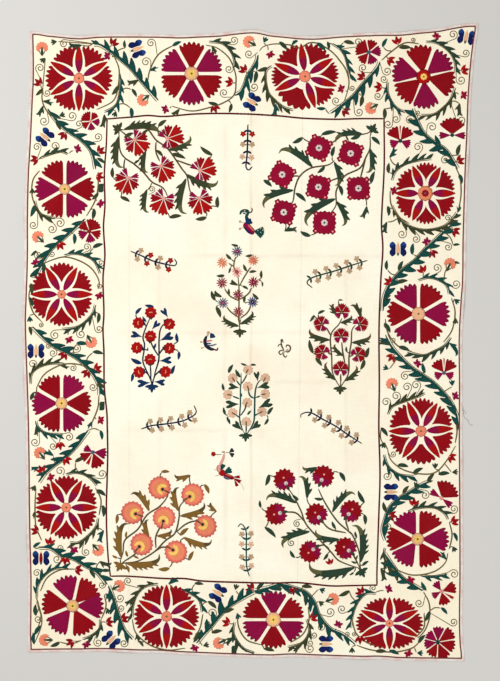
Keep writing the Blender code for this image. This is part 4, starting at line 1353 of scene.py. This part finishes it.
footLeftFlowers = [(132.4, 512.7), (159.6, 487.7), (164.1, 517.8), (141.7, 544.1), (192.6, 494.7),
                   (205.4, 526.2), (175.9, 551.8)]
sewn, lines = sewSpray("spray_foot_left", footLeftStems, footLeftLeaves, footLeftFlowers,
                       ("bark", "gold", "bark"), (120.5, 565, -120))
for place in onCloth(footLeftFlowers):
    sewCoralCarnation(sewn, place, opening(place, lines))
sewn.finish(silk)

footRightFlowers = [(284.3, 479.4), (323.3, 476.1), (275.9, 514), (316.3, 514), (351.2, 510.8),
                    (309.9, 551.8),
                    (345.4, 548)]
sewn, lines = sewSpray("spray_foot_right", footRightStems, footRightLeaves, footRightFlowers,
                       ("bark", "forest", "sage"), (361, 571, -60))
for place in onCloth(footRightFlowers):
    sewRedCarnation(sewn, place, opening(place, lines))
for x, y in [(297, 523.6), (291.3, 542.8)]:
    on, way = nearest(onCloth((x, y)), lines)
    spiral(sewn, onCloth((x, y)), 1.4, "bark", on)
sewBud(sewn, onCloth((329.7, 561.4)), 110, "deepRed", "flame", 0.8)
sewn.finish(silk)
print("suzani: sprays sewn")

# Four small bushes down the middle of the field, read like the sprays
bushes = {
    "left": {
        "stems": [
            [(152, 384), (149, 376), (143, 362), (144, 351), (144.5, 344), (143, 337), (146.5, 326),
             (151, 316)],
            [(153, 383), (155, 373), (158.5, 361), (159, 351), (159, 341), (160, 331), (163, 325),
             (168, 323)],
            [(158.5, 356), (153, 347), (150, 340)], [(158.5, 355), (163, 349), (167, 348)],
            [(151, 379), (150.4, 365)], [(151.5, 380), (147, 373), (142, 371)],
            [(153.6, 377), (158.5, 372), (162, 371.5)],
            [(144.5, 351), (141, 348)], [(146.5, 327), (144, 323.5), (141, 323)],
        ],
        "leaves": [
            (144.5, 304.8, 153.6, 306), (142, 307.6, 135.5, 314.5), (160.6, 309, 168.3, 315, -2),
            (158, 320, 151.5, 326.4, -2), (142.5, 316, 146.6, 322), (130.6, 332, 143, 337, 3),
            (172.5, 332.7, 160, 340.4, -3), (176.7, 332.7, 178, 342.5), (178, 360, 178.7, 351),
            (148, 347, 148, 351), (156.4, 343, 154.3, 349.4), (130.6, 358, 142, 363.4),
            (172.5, 358, 158.5, 361, -2), (175.3, 365, 171.8, 374.6), (131, 382, 132.7, 373),
            (136, 382, 151, 384, 3), (166, 381, 153.6, 384, -3),
        ],
        "flowers": [(150.8, 312.5), (138.3, 323), (169.4, 324), (150.5, 336.2), (136.9, 347.8),
                    (169.4, 348.3),
                    (150.1, 359.5), (139, 372.2), (165.5, 371.8)],
        "silks": ("midnight", "petrol", "petrol"), "root": (151.8, 386, -90), "split": 24,
    },
    "upper": {
        "stems": [
            [(239.6, 330), (239, 312), (239, 290), (238, 275)],
            [(239.3, 287), (242, 281), (246.3, 273.6), (251, 266.6)],
            [(239, 276), (235.5, 271), (233.8, 266), (235, 259), (237.2, 256)], [(234, 266.6), (228, 263)],
            [(239.3, 318), (231, 312), (226, 306)], [(239, 301), (230, 296), (224, 288)],
            [(239.2, 300), (248, 294), (252, 287)], [(239.5, 319), (247, 313), (251, 306)],
        ],
        "leaves": [
            (231, 244, 238.6, 245.7), (245, 256, 252.6, 254.8), (226, 253.4, 231.7, 259.6),
            (228.3, 273.6, 230.3, 267.3), (243.5, 263.8, 247, 271.5), (256.8, 271.5, 249, 272.5),
            (261.7, 270, 261.7, 278.5), (262.4, 287, 261.7, 281.3), (216, 275.7, 224.7, 275),
            (232.4, 280, 237.2, 286, 1), (229, 288.3, 229.6, 295), (211.4, 290.4, 215.6, 300.8),
            (215.6, 291, 222.6, 293.8, 1), (248.4, 289.7, 242, 286), (252.6, 293, 259, 299.4),
            (245.6, 295, 244.2, 303), (220.5, 318, 215.6, 306.4), (224.3, 316, 238.6, 327, 4),
            (252, 312, 240.7, 325, -4),
        ],
        "flowers": [
            (237.2, 251.5, "slate", "magenta"), (222.3, 262.7, "orange", "orange"),
            (253.3, 260.3, "orange", "rose"),
            (237, 272, "pink", "crimson"), (222, 283, "crimson", "magenta"),
            (253.6, 282.3, "crimson", "magenta"),
            (238, 295, "crimson", "magenta"), (223, 303, "slate", "magenta"), (252.6, 302, "slate", "navy"),
            (238.4, 312, "crimson", "deepRed"),
        ],
        "silks": ("olive", "moss", "moss"), "root": (239.8, 331, -90),
    },
    "lower": {
        "stems": [
            [(246, 436), (243, 430.6), (239.7, 419.4), (240.4, 404), (240.4, 390), (241, 381.7), (241, 372)],
            [(247.4, 433.4), (253.6, 422), (254.6, 407), (255, 394.3), (257, 384.5), (261.3, 379)],
            [(241, 384.5), (244.6, 379), (247.4, 373.4)], [(239.7, 416.6), (244.6, 409.7), (246.7, 404)],
            [(254.6, 398.5), (250, 395.7), (248, 389.4)], [(246.2, 433), (246.2, 424)],
            [(240.6, 386), (236, 380)], [(240.2, 399), (232, 396)], [(255, 398), (261, 395.5)],
            [(239.8, 418), (235, 414)], [(254, 416), (259, 413)],
        ],
        "leaves": [
            (240.4, 363, 246.7, 365), (256.4, 365.3, 250.2, 365), (233.4, 364.3, 228.5, 373.4),
            (235.5, 369, 240.7, 377.5), (257.4, 370.6, 257, 381, 2), (222.7, 383, 224.3, 390.8),
            (227.8, 384.5, 239, 388.7, 2), (269.7, 382.4, 257, 388, -2), (241.8, 393, 241.8, 397),
            (224.3, 402.7, 239, 404, 3), (271.8, 399, 256.4, 407.6, -3), (223.6, 407, 225.7, 415),
            (273.6, 407, 267.6, 415), (251.6, 410.4, 247.4, 415.2), (230, 424.7, 226.4, 417.3),
            (264, 425, 268.3, 418), (234, 420.8, 242.5, 432, 3), (259.2, 420.8, 251.6, 432, -3),
        ],
        "flowers": [(247.8, 370, 60), (232.7, 378.2, 120), (265.2, 378.2, 60), (247.6, 386.6, 110),
                    (228, 394.6, 170),
                    (265, 394, 10), (247, 402.7, 60), (232.7, 413, 150), (262, 411.7, 30), (246.2, 422, 90)],
        "silks": ("teal", "forest", "teal"), "root": (245.5, 435, -90), "split": 24,
    },
    "right": {
        "stems": [
            [(340, 387), (337.3, 383), (332.4, 372), (331.7, 356.6), (330.3, 340), (332.4, 331.5),
             (338.7, 324.5),
             (342.2, 317.5)],
            [(342.2, 384.6), (348.4, 373.4), (349, 356.6), (351.2, 342.7), (352, 330), (356, 324.5)],
            [(340.8, 383), (340.5, 373.4)], [(345, 363.6), (343, 353.8), (341.5, 341.3)],
            [(331.8, 355), (327, 352)], [(331, 336), (326, 327)], [(349, 357), (354, 354.5)],
            [(348.5, 371), (345, 363.6)],
        ],
        "leaves": [
            (333.8, 304.3, 332.4, 319, 3), (351.2, 305.7, 360.7, 314.8, -2), (325.4, 310.6, 317.7, 314),
            (309.4, 321.7, 314.2, 314.8), (351.2, 316, 342.2, 323.8, -3), (310, 330, 330.3, 340.6, 3),
            (370, 334.3, 352.6, 342.7, -3), (309.4, 339.2, 313.5, 353.8), (369.4, 347, 366.6, 358),
            (335.2, 344.8, 343, 356.6, 3), (346.3, 346.2, 347, 352.4), (321.9, 366.4, 315, 358),
            (360, 370, 364.5, 359.4), (326.8, 363, 333.8, 381.8, 3), (356, 366.4, 345.7, 381.8, -3),
            (343, 300.3, 338, 300.3),
        ],
        "flowers": [(341.7, 311.3, 90), (321.2, 323.8, 160), (360.7, 323.8, 20), (341, 335.7, 90),
                    (321.9, 352.2, 160),
                    (358.2, 354.3, 20), (340.5, 368.5, 90)],
        "silks": ("bark", "moss", "bark"), "root": (340, 388, -90),
    },
}


def sewHeartFlower(sewn, at, lines):
    aim = opening(at, lines)
    bloom(sewn, at, 2.55, "flame", 9, 0.2, rings=5)
    tones = ["orange", "peach", "peach"]
    bloom(sewn, at - turned(aim, 0.8), 1.9, tones, 3, 0.3, rings=3, spread=130, aim=aim, level=1)
    seat = at - turned(aim, 1.9)
    leaf(sewn, at - turned(aim, 2.9), at - turned(aim, 1.4), 0.6, "midnight", lines=6, level=2)
    for hand in (-1, 1):
        hook = [-turned(aim, 0.4), turned(aim + hand * 90, 0.8), turned(aim + hand * 55, 1.1)]
        stem(sewn, seat + hook, 0.35, "midnight", step=0.4, level=2)


def sewRayFlower(sewn, at, rays, heart):
    for k in range(12):
        way = turned(k * 30 + chance.uniform(-4, 4))
        leaf(sewn, at + way * 0.4, at + way * chance.uniform(2.2, 2.5), 0.7, rays, lines=5, points=3)
    bloom(sewn, at, 0.8, heart, 6, 0.1, rings=3, level=1)
    bloom(sewn, at, 0.34, "pink", rings=3, level=2)


def sewStalkFlower(sewn, at, aim):
    bloom(sewn, at, 2.1, ["sand"] * 4 + ["tan"], 8, 0.18, rings=5, spread=330, aim=aim)
    leaf(sewn, at - turned(aim, 1.9), at + turned(aim, 0.5), 0.6, "bark", lines=6, level=1)


def sewStripedFlower(sewn, at, aim):
    petals = [(turn, 32, 1.0, "deepRed") for turn in (-61, 0, 61)]
    petals += [(turn, 35, 1.0, "magenta") for turn in (-128, 128)]
    sewFan(sewn, at, 3.3, aim, petals, ("bark", "pink"), 0.08, 0.12, 0.07)


for name, row in bushes.items():
    sewn, lines = sewSpray(f"bush_{name}", row["stems"], row["leaves"], row["flowers"], row["silks"],
                           row["root"], 0.65, 2.0, row.get("split", 0))
    for x, y, *how in row["flowers"]:
        at = onCloth((x, y))
        if name == "left":
            sewHeartFlower(sewn, at, lines)
        elif name == "upper":
            sewRayFlower(sewn, at, *how)
        elif name == "lower":
            sewStalkFlower(sewn, at, *how)
        else:
            sewStripedFlower(sewn, at, *how)
    sewn.finish(silk)
print("suzani: bushes sewn")

# Six sprigs, from the straight end to the curled one: leaves in pairs, and small flowers in pairs between
sprigs = [
    {"by": [(247.8, 124), (247.5, 140), (247, 155), (246, 167), (248.8, 170), (252.8, 166)],
     "silk": "midnight",
     "flowers": ("flame", "tan", "sand")},
    {"by": [(249.7, 577), (246.7, 566.4), (246.2, 550.4), (246.2, 532.4), (243.2, 525.4), (240.2, 524),
            (237.7, 528)], "silk": "teal", "flowers": ("sand", "tan")},
    {"by": [(130, 251), (141, 255.5), (153, 261), (167, 264.5), (175, 265.5), (176.5, 262), (173.5, 258.5)],
     "silk": "midnight", "flowers": ("tan", "flame")},
    {"by": [(368, 260.2), (352, 265.2), (334, 271.2), (323, 274.2), (311, 278.2), (307, 283), (313, 288.2)],
     "silk": "forest", "flowers": ("tan",)},
    {"by": [(140.7, 429.2), (151.2, 425.7), (167.2, 423.7), (183.2, 420.7), (195.2, 414.2), (195.7, 409.2),
            (193.2, 404.7)], "silk": "midnight", "flowers": ("tan",)},
    {"by": [(362.5, 443.9), (349, 435.4), (336, 426.4), (323, 419.4), (310, 412.4), (301, 414.4),
            (301.5, 418.4)],
     "silk": "midnight", "flowers": ("tan",)},
]
sprigMake = {"first": 1.6, "last": 4.4, "pair": 4.1, "off": 1.75, "flower": 1.25, "leafLong": 2.1,
             "leafWide": 0.95,
             "stemWide": 0.65}
for number, row in enumerate(sprigs, 1):
    sewn = Sewn(f"sprig_{number}")
    line = stem(sewn, onCloth(row["by"]), sprigMake["stemWide"], row["silk"], taper=0.3)
    run = gone(line)
    for i in range(int((run[-1] - sprigMake["last"]) / sprigMake["pair"] * 2)):
        k = int(np.searchsorted(run, sprigMake["first"] + sprigMake["pair"] * i / 2))
        way = angleOf(line[min(k + 1, len(line) - 1)] - line[k - 1])
        name = row["flowers"][(i // 2) % len(row["flowers"])]
        for hand in (-1, 1):
            if i % 2:
                middle = line[k] + turned(way + hand * 90, sprigMake["off"])
                leaf(sewn, line[k], middle, 0.4, row["silk"], lines=5, points=3)
                bloom(sewn, middle, sprigMake["flower"], name, 5, 0.34, level=1)
                bloom(sewn, middle, 0.3, "gold", rings=3, level=2)
            else:
                tip = line[k] + turned(way + hand * 60, sprigMake["leafLong"])
                leaf(sewn, line[k], tip, sprigMake["leafWide"], row["silk"], lines=7, points=4)
    sewn.finish(silk)
print("suzani: sprigs sewn")

# Two birds and two small beasts between the bushes.
# Strokes: silk, width, level, places. Fans: silk, x, y, reach, aim, half spread, teeth. Dots: silk, x, y, r
creatures = {
    "bird_upper": {
        "strokes": [
            ("teal", 1.3, 0, [(239.8, 215), (241.4, 211.6), (245, 210.6), (248, 212), (246.4, 216.4),
                              (246, 221)]), ("tan", 0.3, 0, [(244.8, 228), (242, 228), (239, 228.4)]),
            ("tan", 0.3, 0, [(244.5, 222.8), (241.5, 222.3), (239, 222.3)]),
            ("magenta", 2.3, 1, [(244, 223), (248.5, 228.5), (254.3, 233.5)]),
            ("rose", 0.8, 2, [(247.5, 224.5), (251, 228), (254, 231.5)]),
            ("navy", 0.7, 2, [(244.2, 226.5), (247.5, 231), (252.4, 234.3)]),
            ("bark", 0.5, 0, [(248, 212.8), (251.2, 212.2), (252.2, 209.4), (250.8, 207.6)]),
            ("teal", 0.5, 1, [(242.4, 213.4), (244.6, 213.4), (246.6, 214)]),
        ],
        "fans": [("petrol", 245, 224.4, 3.2, 42, 40, 3), ("teal", 253.4, 231, 4.5, -10, 38, 7)],
        "dots": [("ivory", 242.6, 212.6, 0.32), ("ivory", 244.6, 210.9, 0.32), ("ivory", 246, 213.4, 0.32),
                 ("ivory", 257.8, 230.4, 0.3), ("ivory", 260.6, 228.4, 0.3), ("ivory", 260.8, 232.4, 0.3),
                 ("ivory", 263, 230, 0.3), ("tan", 240, 221.6, 0.5), ("tan", 240, 228.8, 0.5)],
    },
    "beast_left": {
        "strokes": [
            ("tan", 0.75, 0, [(206.6, 331.6), (208, 333.6), (206.8, 337)]),
            ("midnight", 1.5, 0, [(206.8, 335.5), (204.9, 341), (206.5, 346), (211, 349), (215, 349.3)]),
            ("magenta", 0.6, 1, [(213.6, 349.3), (217, 350), (217.9, 347.2)]),
            ("rose", 0.5, 1, [(205.5, 341), (209, 340.9), (212.6, 340.3)]),
            ("royal", 0.5, 1, [(206, 343.2), (209, 343.5), (211.5, 343.2)]),
            ("slate", 0.5, 1, [(205.8, 345), (212, 345.4), (217, 343.8)]),
            ("teal", 0.55, 1, [(207.5, 347.2), (210, 348.6), (213, 348.8)]),
            ("tan", 0.3, 0, [(204.8, 343), (202.5, 342.2), (200.5, 342)]),
            ("tan", 0.3, 0, [(205.5, 346), (203.5, 347.6), (201.5, 348)]),
        ],
        "fans": [("petrol", 209.8, 338.6, 2.5, 50, 40, 3)],
        "dots": [("tan", 208.6, 332.4, 0.5), ("tan", 201, 342, 0.4), ("tan", 202, 348, 0.4)],
    },
    "beast_right": {
        "strokes": [
            ("bark", 0.65, 0, [(281.5, 340), (281.2, 343.5), (282.2, 347), (284, 350.5)]),
            ("bark", 0.5, 0, [(278, 347.5), (278.6, 345), (281, 344.6), (281.4, 347)]),
            ("bark", 0.58, 0, [(284, 350.5), (281, 350.4), (278.9, 352.2), (280.5, 354.6), (282.4, 353)]),
            ("bark", 0.58, 0, [(284, 350.5), (283, 354), (285.4, 357.2), (287.2, 354.8)]),
            ("bark", 0.65, 0, [(284, 350.5), (288, 352), (290.4, 349), (289.6, 345.8), (286.6, 345.2),
                               (286, 348)]),
            ("olive", 0.4, 1, [(282, 341.6), (284, 342.4)]),
        ],
        "fans": [], "dots": [("bark", 281.8, 340.4, 0.6), ("tan", 283.4, 352.6, 0.5),
                             ("tan", 287.4, 350, 0.45)],
    },
    "bird_lower": {
        "strokes": [
            ("tan", 0.6, 1, [(221.6, 452.6), (223.6, 451.8), (225.4, 452.8)]),
            ("pink", 1.1, 0, [(224.3, 453), (223, 459), (220.6, 464), (219.6, 470)]),
            ("tan", 0.3, 0, [(219.5, 470), (216, 469.9), (213.5, 469.5)]),
            ("tan", 0.3, 0, [(220, 474.5), (217, 475.6), (214.5, 476)]),
            ("pink", 1.6, 1, [(219.8, 464.6), (218.9, 468.5), (220, 472.6)]),
            ("deepRed", 1.5, 1, [(223, 474), (229, 476.6), (234, 478.4)]),
            ("rose", 0.5, 2, [(225, 474), (229, 475.6), (232, 476.4)]),
            ("slate", 0.9, 2, [(223.6, 476.4), (226.5, 478), (230, 478.6)]),
            ("tan", 0.22, 0, [(240, 483), (243, 486.6), (243.8, 491)]),
            ("bark", 0.3, 0, [(222, 454.3), (218, 454.6), (214.5, 454.4)]),
            ("bark", 0.3, 0, [(225.2, 453), (227.5, 452.4), (230, 452.6)]),
        ],
        "fans": [("teal", 221.2, 471.4, 3.2, 76, 26, 3), ("teal", 222.8, 473.6, 4.0, 28, 26, 3),
                 ("ink", 228.8, 452.8, 2.4, 38, 30, 2), ("ink", 228.8, 452.8, 2.4, -30, 30, 2),
                 ("deepRed", 231.6, 477.2, 3.5, 3, 14, 2), ("deepRed", 231.6, 477.6, 4.3, -25, 13, 2),
                 ("deepRed", 234, 478.8, 3.4, -66, 15, 2)],
        "dots": [("flame", 222.1, 472.8, 1.35), ("flame", 213.4, 454, 0.95)],
    },
}
for name, row in creatures.items():
    sewn = Sewn(name)
    for silkName, wide, level, points in row["strokes"]:
        stem(sewn, onCloth(points), wide, silkName, step=0.4, taper=0.55, level=level)
    for silkName, x, y, radius, aim, half, teeth in row["fans"]:
        wedge(sewn, onCloth((x, y)), aim, 0.15, radius, lambda r: half, silkName, teeth, 0.05, lines=5)
    for silkName, x, y, radius in row["dots"]:
        bloom(sewn, onCloth((x, y)), radius, silkName, 5, 0.12, rings=3, level=2)
    sewn.finish(silk)
print("suzani: creatures sewn")

# Whipped stitches where the three cloths meet
seamMake = {"every": 0.9, "long": 0.62, "wide": 0.13, "slant": 24}
for name in ("seamLeft", "seamRight"):
    sewn = Sewn(f"stitches_{name[4:].lower()}")
    ends = [edgeAt(side, make[name][0], panelInset + 0.4) for side in ("foot", "head")]
    for y in np.arange(float(ends[0]), float(ends[1]), seamMake["every"]):
        at = np.array([float(seamX(name, y, 0)), y])
        reach = turned(seamMake["slant"] + chance.uniform(-8, 8), seamMake["long"] / 2)
        sewn.patch(ribbon([at - reach, at, at + reach], seamMake["wide"] / 2), "seam", rise=0.03)
    sewn.finish(silk, "ground_cotton")
print("suzani: seams stitched")

# Loose threads at two edges, worked from the cloth out over the floor
looseThreads = [
    [(461.5, 402), (463, 408), (464, 416.6), (467.5, 420), (470, 424.6), (473, 425)],
    [(462, 409), (464.6, 411), (466, 414)],
    [(366, 33.6), (368, 35), (370, 37.2)],
    [(368, 32.6), (369.4, 34.6)],
]
sewn = Sewn("loose_threads")
for points in looseThreads:
    stem(sewn, onCloth(points), 0.16, "seam", step=0.4, taper=0.2, level=3)
for flat, rise in zip(sewn.flat, sewn.rise):
    x, y = flat.T
    beyond = np.maximum(x - edgeAt("right", y, 0), y - edgeAt("head", x, 0))
    rise -= make["clothThick"] * ease(beyond + 0.5)
sewn.finish(silk, "ground_cotton")
print("suzani: loose threads laid")

# Floor, light and camera: seen from straight above
floor = bpy.data.objects.new("floor", bpy.data.meshes.new("floor"))
floor.data.from_pydata([(-6, -6, 0), (6, -6, 0), (6, 6, 0), (-6, 6, 0)], [], [(0, 1, 2, 3)])
bpy.context.scene.collection.objects.link(floor)
floor.location.z = -0.0002
plain = Finish("floor_plain", Roughness=0.9)
plain.shader.inputs["Base Color"].default_value = (*linear((206, 204, 200)), 1)
floor.data.materials.append(plain.material)

lamps = [
    {"name": "window_light", "at": (-2.6, 1.5, 3.8), "size": 2.6, "power": 131},
    {"name": "fill_light", "at": (2.7, -2.3, 4.2), "size": 3.4, "power": 88},
]
for row in lamps:
    light = bpy.data.lights.new(row["name"], "AREA")
    light.size, light.energy = row["size"], row["power"]
    lamp = bpy.data.objects.new(row["name"], light)
    lamp.location = row["at"]
    lamp.rotation_euler = (-Vector(row["at"])).to_track_quat("-Z", "Y").to_euler()  # at the cloth's middle
    bpy.context.scene.collection.objects.link(lamp)
sky = bpy.data.worlds.new("soft_sky")
sky.use_nodes = True
sky.node_tree.nodes["Background"].inputs[0].default_value = (1.0, 0.99, 0.97, 1)
sky.node_tree.nodes["Background"].inputs[1].default_value = 0.5
bpy.context.scene.world = sky

bpy.context.scene.view_settings.view_transform = "Standard"
view = {"high": 9.0, "tall": 2.588, "middle": (-0.001, 0.0067)}
lens = bpy.data.cameras.new("above")
lens.sensor_width = 36.0
lens.lens = 36.0 * view["high"] / view["tall"]
camera = bpy.data.objects.new("above", lens)
camera.location = (*view["middle"], view["high"])
bpy.context.scene.collection.objects.link(camera)
bpy.context.scene.camera = camera

print("suzani: done")
